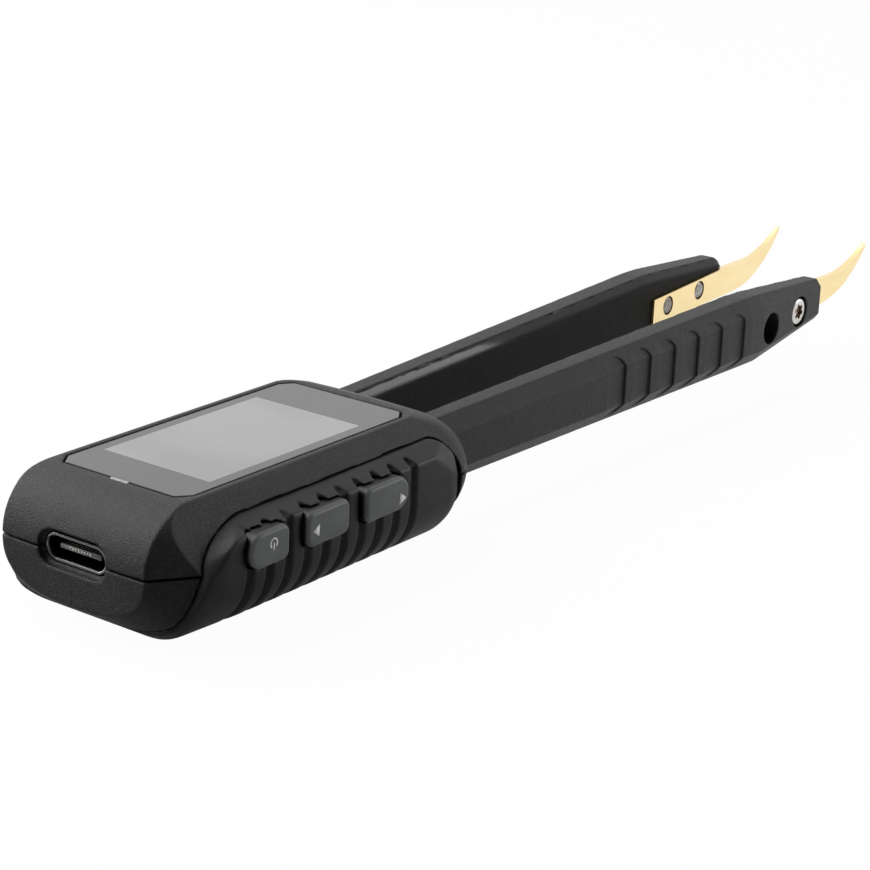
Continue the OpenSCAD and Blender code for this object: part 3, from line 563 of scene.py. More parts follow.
def grip_form(g):
    """The rubber's outer form, grown by g: its rim on the shoulder, and rings from the rear end to the front."""
    rim = smooth_line([(5.4, 9), (6.2, 10.2), (8.2, 11.65), (11, 12.75), (13.2, 13.2), (GRIP_FRONT - 3.5, 13.6),
                       (GRIP_FRONT - 1.8, 13.1), (GRIP_FRONT - 1, 12.4), (GRIP_FRONT - 0.5, 11.6)], 3)
    rings = smooth_line([(GRIP_REAR, 11.6, 3.4, 1.7, 5, 1.6), (4.4, SPLIT_HALF_W + 0.25, 7.6, 0.5, 6.6, 7),
                         (6.8, GRIP_HALF_W - 0.1, 9.6, 0.12, 9.4, 8), (9, GRIP_HALF_W, 11.95, 0.05, 9.4, 8),
                         (13.5, GRIP_HALF_W, SHOULDER_H, 0, 9, 7.3)], 4)
    rings += [(GRIP_FRONT - 5.2, GRIP_HALF_W, SHOULDER_H, 0, 9, 7.3),
              (GRIP_FRONT - 1.8, GRIP_HALF_W, SHOULDER_H - 2.5, 0, 8.6, 7),
              (GRIP_FRONT - 0.8, GRIP_HALF_W - 0.12, 9.6, 0.2, 8.6, 7),
              (GRIP_FRONT + 0.1, GRIP_HALF_W - 0.45, 8.8, 0.7, 8.6, 6.6)]
    points = [(s, seam_half_w(s, h) + 0.35 + g, h) for s, h in rim]
    for s, w, shoulder, low, *belly in rings:
        points += grip_ring(s, w + g, shoulder, low - g, *belly)
    return hull(mirrored(points))


def key_outline(i, grow):
    """The rear corners of the first key and the front corners of the last are fully round."""
    l, w = KEY_L[i] + 2 * grow, KEY_W + 2 * grow
    small, big = 1.1 + grow, w / 2 - 0.1
    rear, tip = (big if i == 0 else small), (big if i == 2 else small)
    s, h = KEY_S[i] - grow, KEY_H - w / 2
    quarters = [((s + rear, h + rear), rear, 180), ((s + l - tip, h + tip), tip, 270),
                ((s + l - tip, h + w - tip), tip, 0), ((s + rear, h + w - rear), rear, 90)]
    return [point for centre, r, start in quarters
            for point in arc(centre, r, [math.radians(start + a) for a in steps(0, 90, 10)])]


def groove_outline(s, w):
    """Upright slot with a round arch at its top."""
    arch = [(s + w / 2 * math.cos(a), SHOULDER_H - 0.3 + 0.6 * math.sin(a) ** 0.9)
            for a in steps(0.02, math.pi - 0.02, 14)]
    return [(s - w / 2, -1), (s + w / 2, -1)] + arch


DENT_HALF_L, DENT_UP, DENT_OUT = 0.58, 1.75, 0.46


def dent(s):
    """Half an egg that lies in the leaning shoulder, with its middle on the crease."""
    lean, middle = math.radians(22), Vector((s, GRIP_HALF_W - 0.1, SHOULDER_H - 0.02))
    along = Vector((DENT_HALF_L, 0, 0))
    up = Vector((0, -math.cos(lean), math.sin(lean))) * DENT_UP
    out = Vector((0, math.sin(lean), math.cos(lean))) * DENT_OUT
    return hull([tuple(middle + up * math.sin(b) + (along * math.cos(a) + out * math.sin(a)) * math.cos(b))
                 for a in steps(0, 2 * math.pi, 16)[:-1] for b in steps(-1.5, 1.5, 9)])


GROOVE_S = [11.24 + 3.125 * i for i in range(10)]
CUTS = ((1.5, 0.1), (1.15, 0.24), (0.8, 0.38), (0.45, 0.5))
grip = softened(grip_form(-INSIDE) & across(grip_edge(0)), 0.22, 5, 1.0) - core(0.04)
for width, depth in CUTS:
    slots = [across(groove_outline(s, width), *reach) for s in GROOVE_S for reach in ((-20, -8.2), (8.2, 20))]
    grip -= together(*slots) - grip_form(-INSIDE - depth)
grip -= both_sides(together(*[dent(s) for s in GROOVE_S])) - core(0.3)
grip -= together(*[across(key_outline(i, GAP), -17, -12.1) for i in range(3)])
grip -= posts(SCREWS, SCREW_HEAD_R, -1, 4)
settle(softened(grip, 0.14, 5, 0.3), "rubber_grip", "head", ["grip_sleeve"])

# %% [markdown]
# ## Keys
# Each key is a smooth cap that stands out of its pocket, with a rounded rim round a flat face, and a stem that
# reaches through the shell to its switch. Rings of the same outline, drawn in along a quarter circle, give the
# rim, and the marks are thin plates of white ink on the face: a power sign and two arrowheads.

# %% Keys and their marks
KEY_FACE, KEY_BACK = GRIP_HALF_W + KEY_PROUD - 0.015, SPLIT_HALF_W - GRIP_EDGE_T + 0.4 + MOVE_GAP
KEY_RIM = 0.55


def key_cap(i):
    rings = [(KEY_BACK, 0.0)] + [(KEY_FACE - KEY_RIM + KEY_RIM * math.sin(a), KEY_RIM * (1 - math.cos(a)))
                                 for a in steps(0, math.pi / 2, 8)]
    cap = loft([[(s, -y, h) for s, h in key_outline(i, -inset)] for y, inset in rings])
    return cap | across(circle((KEY_S[i] + KEY_L[i] / 2, STEM_H), STEM_R), -KEY_BACK - 0.02, -11.92)


def mark(outline):
    return across(outline, -KEY_FACE - 0.008, -KEY_FACE + 0.04)


def power_sign(s, h):
    """An open ring with a bar in its gap, on the lower side as the tool lies."""
    sweep = [math.radians(a) for a in steps(-52, 232, 36)]
    return together(mark(arc((s, h), 0.62, sweep) + arc((s, h), 0.44, sweep[::-1])),
                    mark(oblong((s - 0.09, h - 0.78), (s + 0.09, h + 0.06))))


signs = [power_sign(13.88, 10.76), mark([(21.46, 10.8), (20.33, 10.2), (21.37, 9.4)]),
         mark([(35.72, 10.5), (36.8, 9.65), (35.58, 9.0)])]
for i, name in enumerate(("power_key", "menu_key", "hold_key")):
    settle(key_cap(i), name + "_cap", name, [name], 40)
    settle(signs[i], name + "_mark", name)

# %% [markdown]
# ## Screen window
# The window is one clear plate, printed grey on its back apart from the display's area. It is a flat piece with
# cut corners, a hair below the rim round it. The protective film's pull tab still sticks over its rear edge: a
# thin clear strip that is bent a little where it crosses the gap.

# %% Window and film tab
window = prism(rounded(grown(WINDOW, -0.08), 0.35, 5), HEAD_H - 1.03, HEAD_H - 0.04, "Z")
settle(bevelled(window, 0.1, 2), "window_plate", "head", ["screen_window"], 30)


def film_tab():
    """A row of rings across the strip, from the window's edge to its free end."""
    rings = []
    for t in steps(0, 1, 6):
        near = Vector((7.24, 0.94)).lerp(Vector((6.62, 0.63)), t)
        far = Vector((7.34, -1.56)).lerp(Vector((6.66, -1.9)), t)
        lift, row = HEAD_H - 0.045 + 0.012 * math.sin(math.pi * t), [near.lerp(far, k) for k in steps(0, 1, 8)]
        rings.append([(p.x, p.y, lift) for p in row] + [(p.x, p.y, lift + 0.03) for p in row[::-1]])
    return loft(rings)


settle(film_tab(), "film_tab", "head")

# %% [markdown]
# ## Charging socket
# A reversible charging socket has a rolled nickel shell, open at the back of the head, round a thin tongue with a
# row of contacts on both sides and the short ends of some on its front edge. The shell is an outline in an
# outline, with its lip rounded by a bevel, and all the contacts are thin plates that stand out a little.

# %% Socket shell, tongue and contacts
shell = prism(stadium(USB_W, USB_T - 0.02, 1.5), USB_IN, USB_IN + 7.3, "X") - \
    prism(stadium(USB_W - 0.6, USB_T - 0.62, 1.2), USB_IN - 1, USB_IN + 7.0, "X")
settle(bevelled(shell, 0.1, 3, 40), "socket_shell", "head", ["usb_socket"], 35)
tongue = bevelled(block((USB_IN + 0.62, -3.0, USB_H - 0.28), (USB_IN + 6.98, 3.0, USB_H + 0.28)), 0.08, 2)
settle(tongue, "socket_tongue", "head", ["usb_tongue"], 35)


def contact_row(s_low, s_high, h, half_t, half_w, pitch, count):
    """Thin plates side by side on the tongue."""
    return [bevelled(block((USB_IN + s_low, y - half_w, h - half_t),
                           (USB_IN + s_high, y + half_w, h + half_t)), 0.02, 1)
            for y in [pitch * (k - (count - 1) / 2) for k in range(count)]]


contacts = contact_row(0.95, 4.6, USB_H - 0.3, 0.04, 0.13, 0.5, 12) + \
    contact_row(0.95, 4.6, USB_H + 0.3, 0.04, 0.13, 0.5, 12) + contact_row(0.6, 0.75, USB_H, 0.14, 0.12, 0.42, 8)
settle(together(*contacts), "socket_contacts", "head")

# %% [markdown]
# ## Arms
# Each arm is a moulded bar whose section grows towards the fingers and tapers to the tip. Its outer shell and a
# flat cover on the inner side meet in a fine line along the top. Eight corners at each of five stations are
# enough for the hull, since the faces are flat and the edges straight. The finger scallops are wedges that start
# at the surface and run deeper towards a rounded end. One arm is shaped, and the other is its mirror image.

# %% Form of an arm


def inner(s):
    return ARM_GAP + (s - HEAD_L) * SPLAY


def width(s):
    if s < ARM_WIDE:
        return ARM_ROOT_W + (ARM_WIDE_W - ARM_ROOT_W) * (s - HEAD_L) / ARM_WIDE_L
    return ARM_WIDE_W + (ARM_END_W - ARM_WIDE_W) * (s - ARM_WIDE) / (ARM_L - ARM_WIDE_L)


def outer(s):
    return inner(s) + width(s)


ARM_ROWS = [(HEAD_L - 2.4, ARM_ROOT_W, ARM_ROOT_H, ARM_LOW_H, 1),
            (ARM_WIDE - 1, ARM_WIDE_W, ARM_TOP_H, ARM_LOW_H, 1),
            (ARM_WIDE + 2.5, ARM_WIDE_W - 0.15, ARM_TOP_H - 0.1, ARM_LOW_H, 0.92),
            (ARM_END - 0.8, ARM_END_W, ARM_END_TOP_H + 0.1, ARM_END_LOW_H - 0.1, 0.5),
            (ARM_END, ARM_END_W - 0.5, ARM_END_TOP_H - 0.3, ARM_END_LOW_H + 0.3, 0.5)]
arm_form = hull([(s, y, h) for s, w, top, low, k in ARM_ROWS for y, h in arm_section(inner(s), w, top, low, k)])


def strip(line, low, high):
    """All that lies between two copies of a line on the plan, moved outward by low and by high."""
    return prism([(s, y + low) for s, y in line] + [(s, y + high) for s, y in line[::-1]], -1, HEAD_H + 1, "Z")


def arm_slice(low, high):
    return strip([(s, inner(s)) for s in (HEAD_L - 10, ARM_END + 1)], low, high)


def scallop(i):
    """A D-shaped dent: its floor is the arm's own form, turned a little inward about the dent's rear edge."""
    tip, l, low, high = HEAD_L + 38.5 + 5.9 * i, 4.2, ARM_LOW_H + 0.6, ARM_LOW_H + 8.5
    outline = [(tip - 2 + 2 * math.cos(a), low + 1.6 + 1.6 * math.sin(a)) for a in steps(-math.pi / 2, 0, 12)]
    outline += arc((tip - 1.5, high - 1.5), 1.5, steps(0, math.pi / 2, 12))
    outline += arc((tip - l + 0.9, high - 0.9), 0.9, steps(math.pi / 2, math.pi, 8))
    outline += [(tip - l, low + 0.8), (tip - l + 0.8, low)]
    rear = Matrix.Translation((tip - l, outer(tip - l), 0))
    return across(outline, 7, 15) - arm_form.turned(rear @ Matrix.Rotation(-0.075, 4, "Z") @ rear.inverted())


SCREW_BACK, SCREW_H, SCREW_DEEP = (7.5, 16.7), (9.5, 9.0), (0.2, 2.5)
screws_at = [(ARM_END - back, h, outer(ARM_END - back) - deep)
             for back, h, deep in zip(SCREW_BACK, SCREW_H, SCREW_DEEP)]
screw_holes = together(*[across(circle((s, h), 2.3), top - 1.2, outer(s) + 7)
                         | across(circle((s, h), 1.35), 0, outer(s)) for s, h, top in screws_at])
print("arm: inner face opens", round(inner(ARM_END) - ARM_GAP, 2), "mm over its length")

# %% Arm shells
LEAD_FRONT, ARM_WALL = ARM_END - SCREW_BACK[1], 1.3
web = circle(PINS[0], LUG_R) + oblong((HEAD_L - 2.3, inner(HEAD_L) + COVER_T + 0.1),
                                      (HEAD_L - 2.0, inner(HEAD_L) + ARM_ROOT_W - 1.9))
lug = post(PINS[0], LUG_R, LUG_LOW, LUG_HIGH) | hull([(s, y, h) for h in (LUG_LOW, LUG_HIGH) for s, y in web])
shell = (arm_form & arm_slice(COVER_T + 0.08, 8)) | lug
shell -= post(PINS[0], PIN_D / 2 + 0.04, 0, HEAD_H)
shell -= prism([(s, inner(s) + COVER_T - 1) for s in (HEAD_L + 4, LEAD_FRONT + 0.5)] +
               [(s, outer(s) - ARM_WALL - 0.4) for s in (LEAD_FRONT - 2.7, ARM_WIDE - 20, HEAD_L + 4)],
               ARM_LOW_H + ARM_WALL + 0.2, ARM_ROOT_H - ARM_WALL + 0.2, "Z")
shell = shell - together(*[scallop(i) for i in range(6)]) - screw_holes
settle_pair(softened(shell, 0.12, 3, 0.3), "arm_outer", "arm_shell")

# %% [markdown]
# ## Blades
# The blades are stamped gold-plated strips, screwed into a seat on the arms' inner side. Seen from the side they
# sweep up into a blunt point, and in front of the arms they bend outward by two degrees. Two prisms that cross
# give the strip. Near the point its outer face is ground thinner, behind a very shallow step. The flat faces stay
# flat, and only the dense points of the two arcs are shaded smooth.

# %% Blade outline, covers and blades
REACH, SEAT_L, BLADE_T, SEAT_D = 18.5, 20.8, 1.0, 0.6
TIP, FRONT_H, FRONT_W, LOW_H, BLADE_W, RISE = ARM_END + REACH, 7.12, 4.35, 6.75, 3.9, 3.5
POINT_H, BEND, SCREW_HOLE_R = FRONT_H + FRONT_W - 0.2 + RISE, math.tan(math.radians(2)), 1.42
BLADE_OUT = SEAT_D - 0.02


def sweep(run, rise, k):
    """A point of an arc that leaves its line run before the tip and climbs by rise."""
    r = (run * run + rise * rise) / (2 * rise)
    return TIP - run + run * k, r - math.sqrt(r * r - (run * k) ** 2)


def blade_profile(grow):
    low_run, up_run = REACH * 0.83, REACH * 0.57
    low = [sweep(low_run, POINT_H - 0.8 - FRONT_H, k) for k in steps(0, 1, 90)]
    high = [sweep(up_run, RISE, k) for k in steps(0.96, 0, 72)]
    line = [(ARM_END - SEAT_L, LOW_H), (ARM_END, FRONT_H)] + [(s, h + FRONT_H) for s, h in low]
    line += [(TIP - 0.02, POINT_H - 0.5), (TIP, POINT_H - 0.35), (TIP - 0.1, POINT_H - 0.1), (TIP - 0.35, POINT_H)]
    line += [(s, h + POINT_H - RISE) for s, h in high]
    line += [(ARM_END, FRONT_H + FRONT_W), (ARM_END - SEAT_L, LOW_H + BLADE_W)]
    return grown(line, grow)


def seat_y(s):
    """How far the blade's line is from the middle: along the arm, and bent outward in front of it."""
    return inner(s) + max(s - ARM_END, 0) * BEND


cover = (arm_form & arm_slice(-1, COVER_T)) - (across(blade_profile(0.1)) & arm_slice(-1.5, SEAT_D))
cover = cover - screw_holes - block((0, 0, 0), (HEAD_L - 1.9, 12, HEAD_H))
settle_pair(softened(cover, 0.12, 3, 0.3), "arm_inner", "arm_cover")

bent = [(s, seat_y(s)) for s in (ARM_END - SEAT_L - 1, ARM_END, LENGTH + 1)]
blade = across(blade_profile(0)) & strip(bent, SEAT_D - BLADE_T, BLADE_OUT)
ground = [(TIP - 5.4, 0.01), (TIP - 5.25, -0.07), (TIP + 1, -0.4), (TIP + 1, 2), (TIP - 5.4, 2)]
blade -= prism([(s, seat_y(s) + BLADE_OUT + y) for s, y in ground], 5, 20, "Z")
blade -= together(*[across(circle((s, h), SCREW_HOLE_R), 0, 20) for s, h, top in screws_at])
settle_pair(blade, "gold_blade", "blade", 1.7)

# %% [markdown]
# ## Blade screws
# Each blade is held by two short machine screws with a six-lobed socket. The front one's head lies in a shallow
# hole and the rear one's in a deep one, and their threaded ends show on the inner side, through the blades. A
# turned profile gives head, shank and thread, and a lobed prism cuts the socket.

# %% Blade screws


SHANK_TOP, THREAD_PITCH = -1.18, 0.34


def blade_screw(length):
    """Head at height 0, facing up, and a threaded shank of that length under it."""
    end = SHANK_TOP - length
    z, line = end + 0.13, [(1.02, end), (1.18, end + 0.13)]
    while z < -1.7:
        line += [(1.2, z + 0.1), (1.06, z + 0.22)]
        z += THREAD_PITCH
    line += [(1.12, -1.5), (1.12, SHANK_TOP), (1.74, SHANK_TOP), (1.9, -1.0), (1.97, -0.3), (1.86, -0.1), (1.6, 0)]
    lobes = [((1.02 + 0.18 * math.cos(6 * a)) * math.cos(a), (1.02 + 0.18 * math.cos(6 * a)) * math.sin(a))
             for a in steps(0, 2 * math.pi, 71)[:-1]]
    return lathe(line) - prism(lobes, -0.5, 1, "Z")


screws = []
for s, h, top in screws_at:
    made = blade_screw(top + SHANK_TOP - (inner(s) + SEAT_D - BLADE_T + 0.03))
    place = Matrix.Translation((s, top, h)) @ Matrix.Rotation(-math.pi / 2, 4, "X")
    screws.append(made.turned(place @ Matrix.Rotation(0.3, 4, "Z")))
settle_pair(together(*screws), "star_screws", "blade_screws", 35)

# %% [markdown]
# ## Finishes
# Every finish is a small network of nodes on one Principled shader. Wire wraps an output socket, so that maths on
# values reads like maths, and Network makes the nodes, for the world too. A number that is the same all over is
# set on the shader itself, and only what varies over the surface is wired in.

# %% Wires


class Wire:
    """An output socket. Maths on it adds nodes, and a | b is the larger of the two."""

    def __init__(self, network, socket):
        self.network, self.socket = network, socket

    def math(self, operation, *values):
        return self.network.node("Math", {"operation": operation}, values)

    def __add__(self, other):
        return self.math("ADD", self, other)

    def __sub__(self, other):
        return self.math("SUBTRACT", self, other)

    def __rsub__(self, other):
        return self.math("SUBTRACT", other, self)

    def __mul__(self, other):
        return self.math("MULTIPLY", self, other)

    def __or__(self, other):
        return self.math("MAXIMUM", self, other)

    def __gt__(self, other):
        return self.math("GREATER_THAN", self, other)

    def __lt__(self, other):
        return self.math("LESS_THAN", self, other)

    def __abs__(self):
        return self.math("ABSOLUTE", self)

    __radd__, __rmul__, __ror__ = __add__, __mul__, __or__

    def rises(self, low, high, start=0.0, end=1.0):
        """start below low, end above high, and smooth between them."""
        return self.network.node("MapRange", {"interpolation_type": "SMOOTHSTEP"}, [self, low, high, start, end])


print("a wire knows", sum(callable(part) for part in vars(Wire).values()), "kinds of maths")

# %% Networks


class Network:
    """A tree of nodes: each node is given its settings, and then the values or wires of its sockets."""

    def __init__(self, tree):
        self.tree = tree

    def plug(self, value, socket):
        if isinstance(value, Wire):
            self.tree.links.new(value.socket, socket)
        else:
            socket.default_value = value

    def node(self, kind, settings=None, values=(), out=0):
        made = self.tree.nodes.new("ShaderNode" + kind)
        for key, value in (settings or {}).items():
            setattr(made, key, value)
        for key, value in (values.items() if isinstance(values, dict) else enumerate(values)):
            self.plug(value, made.inputs[key])
        return Wire(self, made.outputs[out])

    def outputs(self, kind, names, values=()):
        made = self.node(kind, {}, values).socket.node
        return [Wire(self, made.outputs[name]) for name in names]


print("networks are made by", Network.__name__)

# %% Finishes


class Finish(Network):
    """A material, with its numbers that are the same all over given by name."""

    def __init__(self, name, **constants):
        self.material = bpy.data.materials.new(name)
        self.material.use_nodes = True
        super().__init__(self.material.node_tree)
        self.shader = next(n for n in self.tree.nodes if n.type == "BSDF_PRINCIPLED")
        self.place = self.node("TexCoord", out="Object")
        for socket, value in constants.items():
            self.set(socket.replace("_", " "), value)

    def set(self, socket, value):
        self.plug(value, self.shader.inputs[socket])

    def bench(self):
        """Station, distance to the side of the middle and height of a point, in mm."""
        x, y, z = self.outputs("SeparateXYZ", "XYZ", [self.place])
        return x * 1000 + LENGTH / 2, abs(y * 1000 - KEY_PROUD / 2), z * 1000

    def noise(self, per_mm, detail=2.0, roughness=0.5, stretch=(1, 1, 1)):
        scale = tuple(1000 * per_mm * k for k in stretch)
        where = self.node("VectorMath", {"operation": "MULTIPLY"}, [self.place, scale])
        return self.node("TexNoise", {}, {"Vector": where, "Scale": 1.0, "Detail": detail, "Roughness": roughness})

    def mix(self, share, a, b):
        a, b = ((*c, 1) if isinstance(c, tuple) else c for c in (a, b))
        return self.node("Mix", {"data_type": "RGBA"}, {0: share, 6: a, 7: b}, 2)

    def bump(self, height, depth_mm, below=None):
        values = {"Strength": 1.0, "Distance": depth_mm / 1000, "Height": height}
        return self.node("Bump", {}, {**values, "Normal": below} if below else values)

    def give(self, *names):
        for name in names:
            thing = pieces[name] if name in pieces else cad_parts[name]
            thing.data.materials.clear()
            thing.data.materials.append(self.material)
        print(f"{self.material.name}: {len(self.tree.nodes)} nodes, on {', '.join(names)}")


print("finishes are made by", Finish.__name__)

# %% Greys, and two tones in soft clouds


def grey(tone):
    return (tone, tone, tone)


def clouded(name, tones, rough, noise, between=(0.3, 0.7), depth=None, **constants):
    """Two tones in soft clouds. Their noise also adds up to rough[1] to the roughness, and is the relief."""
    f = Finish(name, **constants)
    f.cloud = f.noise(*noise)
    if tones:
        f.set("Base Color", f.mix(f.cloud.rises(*between), *tones))
    f.set("Roughness", rough[0] + f.cloud * rough[1])
    if depth:
        f.set("Normal", f.bump(f.cloud, depth))
    return f


print("a mid grey is", grey(0.5))

# %% [markdown]
# ## Black moulded plastic
# The housings and arms come from a spark-eroded mould, which leaves a fine even grain of about a fifth of a
# millimetre. It is what makes the plastic matte and gives the speckle where light grazes it. A fine noise is the
# height of a bump, and a coarser one gives specks that are lighter and smoother; a soft cloud shifts colour and
# roughness a little, as handling does. The mould's halves leave a hair line down the middle of the rear face,
# below the socket. The covers are nearly black, with a sheen on their upper and inner sides only.

# %% Grained plastic of housings and arms
GRAIN_MM, GRAIN_DEPTH = 0.17, 0.12


def grained(name, colour, light, rough, shine=0.28):
    f = Finish(name, IOR=1.49, Specular_IOR_Level=shine)
    cloud = f.noise(0.12, 3.0)
    speck = f.noise(0.6 / GRAIN_MM, 2.0, 0.6).rises(0.48, 0.74)
    f.set("Base Color", f.mix(cloud.rises(0.3, 0.7) * 0.35 + speck * 0.65, colour, light))
    f.set("Roughness", rough + cloud * 0.08 - speck * 0.1)
    f.skin = f.bump(f.noise(1 / GRAIN_MM, 3.0, 0.6), GRAIN_DEPTH)
    f.set("Normal", f.skin)
    return f


housing = grained("grained_housing", (0.0095, 0.0095, 0.0097), grey(0.032), 0.4)
s, side, h = housing.bench()
mould_line = (1 - side.rises(0.04, 0.12)) * (s < 3.15) * (h < 6.8)
housing.set("Normal", housing.bump(mould_line, 0.05, below=housing.skin))
housing.give("upper_housing", "lower_housing")
arm = grained("grained_arm", (0.0095, 0.0095, 0.0098), grey(0.026), 0.4, 0.22)
arm.give("left_arm_outer", "right_arm_outer")
cover = grained("grained_cover", (0.005, 0.005, 0.0052), grey(0.009), 0.5, 0.08)
s, side, h = cover.bench()
cover.set("Coat Weight", (side - ((s - HEAD_L) * SPLAY + ARM_GAP)).rises(0.1, 0.5) * 0.35)
cover.give("left_arm_inner", "right_arm_inner")

# %% [markdown]
# ## Rubber, keys and ink
# The grip's rubber is a little warmer and has a finer, softer grain than the shells. The keys are smooth rubbery
# plastic, slightly lighter and cooler on their faces; their sides are painted near black, as painted shade of the
# pockets they stand in. The ink is matte white, and thinner in places, so that it isn't even.

# %% Rubber, keys and ink
rubber = clouded("grip_rubber", ((0.013, 0.0128, 0.0122), (0.022, 0.0216, 0.0205)), (0.44, 0.12), (0.2, 4.0, 0.6),
                 (0.35, 0.75), IOR=1.5, Specular_IOR_Level=0.28)
rubber.set("Normal", rubber.bump(rubber.noise(5.5, 2.0), 0.035))
rubber.give("rubber_grip")

key = clouded("key_plastic", None, (0.4, 0.12), (0.6, 3.0), IOR=1.5, Specular_IOR_Level=0.3)
s, side, h = key.bench()
face = key.mix(key.cloud.rises(0.3, 0.7), (0.104, 0.109, 0.11), (0.124, 0.129, 0.13))
# Painted shade: the keys' sides, below the rim, are near black; the face keeps its own grey.
key.set("Base Color", key.mix(side.rises(KEY_FACE - 0.7, KEY_FACE - 0.2), grey(0.006), face))
key.set("Normal", key.bump(key.noise(7.0, 2.0), 0.008))
key.give("power_key_cap", "menu_key_cap", "hold_key_cap")

ink = clouded("white_ink", ((0.62, 0.63, 0.63), grey(0.8)), (0.5, 0.1), (8.0, 2.0), (0.3, 0.6), IOR=1.5,
              Specular_IOR_Level=0.3)
ink.give("power_key_mark", "menu_key_mark", "hold_key_mark")

# %% [markdown]
# ## Window
# The grey print stops at a sharp edge round the display. Both lie behind the same glossy sheet, so one shader
# does for them, with a mask from the piece's own coordinates. The display carries soft clouds of lighter grey, a
# painted reflection of the softbox, the print varies slightly with the same clouds, and the sheet's surface has a
# very shallow waviness.

# %% Window and film
SHOWN_REAR, SHOWN_FRONT, SHOWN_HALF_W, EDGE = 13.09, 38.68, 7.8, 0.02
glass = Finish("screen_sheet", IOR=1.5)
s, side, h = glass.bench()
shown = s.rises(SHOWN_REAR - EDGE, SHOWN_REAR + EDGE) * (1 - s.rises(SHOWN_FRONT - EDGE, SHOWN_FRONT + EDGE)) * \
    (1 - side.rises(SHOWN_HALF_W - EDGE, SHOWN_HALF_W + EDGE))
cloud = glass.noise(0.05, 2.0)
print_tone = glass.mix(cloud.rises(0.35, 0.65), (0.078, 0.079, 0.081), (0.092, 0.092, 0.094))
# Painted reflection: the display's grey is lighter in soft clouds.
screen_tone_and_painted_reflection = glass.mix(cloud.rises(0.4, 0.62), (0.28, 0.28, 0.282), grey(0.33))
glass.set("Base Color", glass.mix(shown, print_tone, screen_tone_and_painted_reflection))
glass.set("Roughness", 0.12 + glass.noise(0.4, 3.0) * 0.08)
glass.set("Normal", glass.bump(glass.noise(0.06, 1.0), 0.02))
glass.give("window_plate")

film = clouded("clear_film", ((0.3, 0.3, 0.305), (0.42, 0.42, 0.425)), (0.25, 0.2), (1.2, 3.0), (0.4, 0.6), 0.03,
               IOR=1.45)
film.give("film_tab")

# %% [markdown]
# ## Metals
# Gold plating on a stamped blade keeps the fine lines of polishing along its length, so its noise is stretched
# that way. The screws are bright plated steel, with turning marks and duller ends, and brown grease sits in their
# sockets. The socket's shell is nickel, and its contacts are gilded. Both keep their own bright tones at the front
# edge only: deeper in, the socket is a dark hole, and that shade is painted into their colour.

# %% Gold, screws, nickel and steel


def metal(name, tones, rough, stretch=(1, 1, 1), per_mm=3.0, depth=0.004):
    return clouded(name, tones, (rough, 0.14), (per_mm, 3.0, 0.55, stretch), depth=depth, Metallic=1.0)


def painted_shade_inside(f, low, high, per_mm, front, inside):
    """Its own tones up to low mm behind the socket's mouth, and dark tones of painted shade from high mm on."""
    s, side, h = f.bench()
    cloud = f.noise(per_mm, 2.0).rises(0.3, 0.7)
    f.set("Base Color", f.mix(s.rises(USB_IN + low, USB_IN + high), f.mix(cloud, *front), f.mix(cloud, *inside)))


gold = metal("gold_plate", ((0.94, 0.76, 0.41), (0.97, 0.8, 0.46)), 0.28, (0.1, 0.6, 0.6), 1.5, 0.002)
gold.give("left_gold_blade", "right_gold_blade")

screw = metal("bright_screw", None, 0.26)
s, side, h = screw.bench()
head_s, head_h, head_at = screws_at[0]
front_s = s - head_s
greased = (side > head_at - 0.8) * (side < head_at - 0.07) * (abs(front_s) < 1.35) * (abs(h - head_h) < 1.3)
sunk, threaded = front_s < -SCREW_BACK[0], side < inner(ARM_END) + SEAT_D + 0.6
bright = screw.mix(screw.cloud.rises(0.3, 0.7), (0.55, 0.53, 0.51), (0.68, 0.66, 0.64))
worn = screw.mix(screw.cloud.rises(0.4, 0.6), (0.2, 0.19, 0.18), (0.42, 0.4, 0.38))
grease = screw.mix(screw.noise(4.0, 3.0).rises(0.42, 0.6), (0.1, 0.05, 0.025), (0.62, 0.5, 0.42))
screw.set("Base Color", screw.mix(greased, screw.mix(threaded, bright, worn), grease))
screw.set("Roughness", 0.26 + screw.cloud * 0.14 + greased * 0.25 + sunk * 0.3)
screw.give("left_star_screws", "right_star_screws")

nickel = metal("nickel_shell", None, 0.22, (0.3, 1, 1), depth=0.0005)
# Painted shade: the shell is near black from a third of a millimetre behind its lip.
painted_shade_inside(nickel, 0.08, 0.35, 2.0, (grey(0.42), grey(0.5)), (grey(0.02), (0.035, 0.035, 0.034)))
nickel.give("socket_shell")
gilding = metal("contact_gilding", None, 0.3)
# Painted shade: the contacts deeper in the socket are near black; those at the front keep their gilded tone.
painted_shade_inside(gilding, 0.78, 0.85, 4.0, ((0.75, 0.74, 0.7), (0.9, 0.89, 0.85)),
            ((0.03, 0.028, 0.022), (0.05, 0.047, 0.038)))
gilding.give("socket_contacts")
metal("plain_steel", ((0.42, 0.42, 0.43), (0.55, 0.55, 0.56)), 0.3).give(
    "housing_screws", "arm_springs", "left_hinge_pin", "right_hinge_pin")
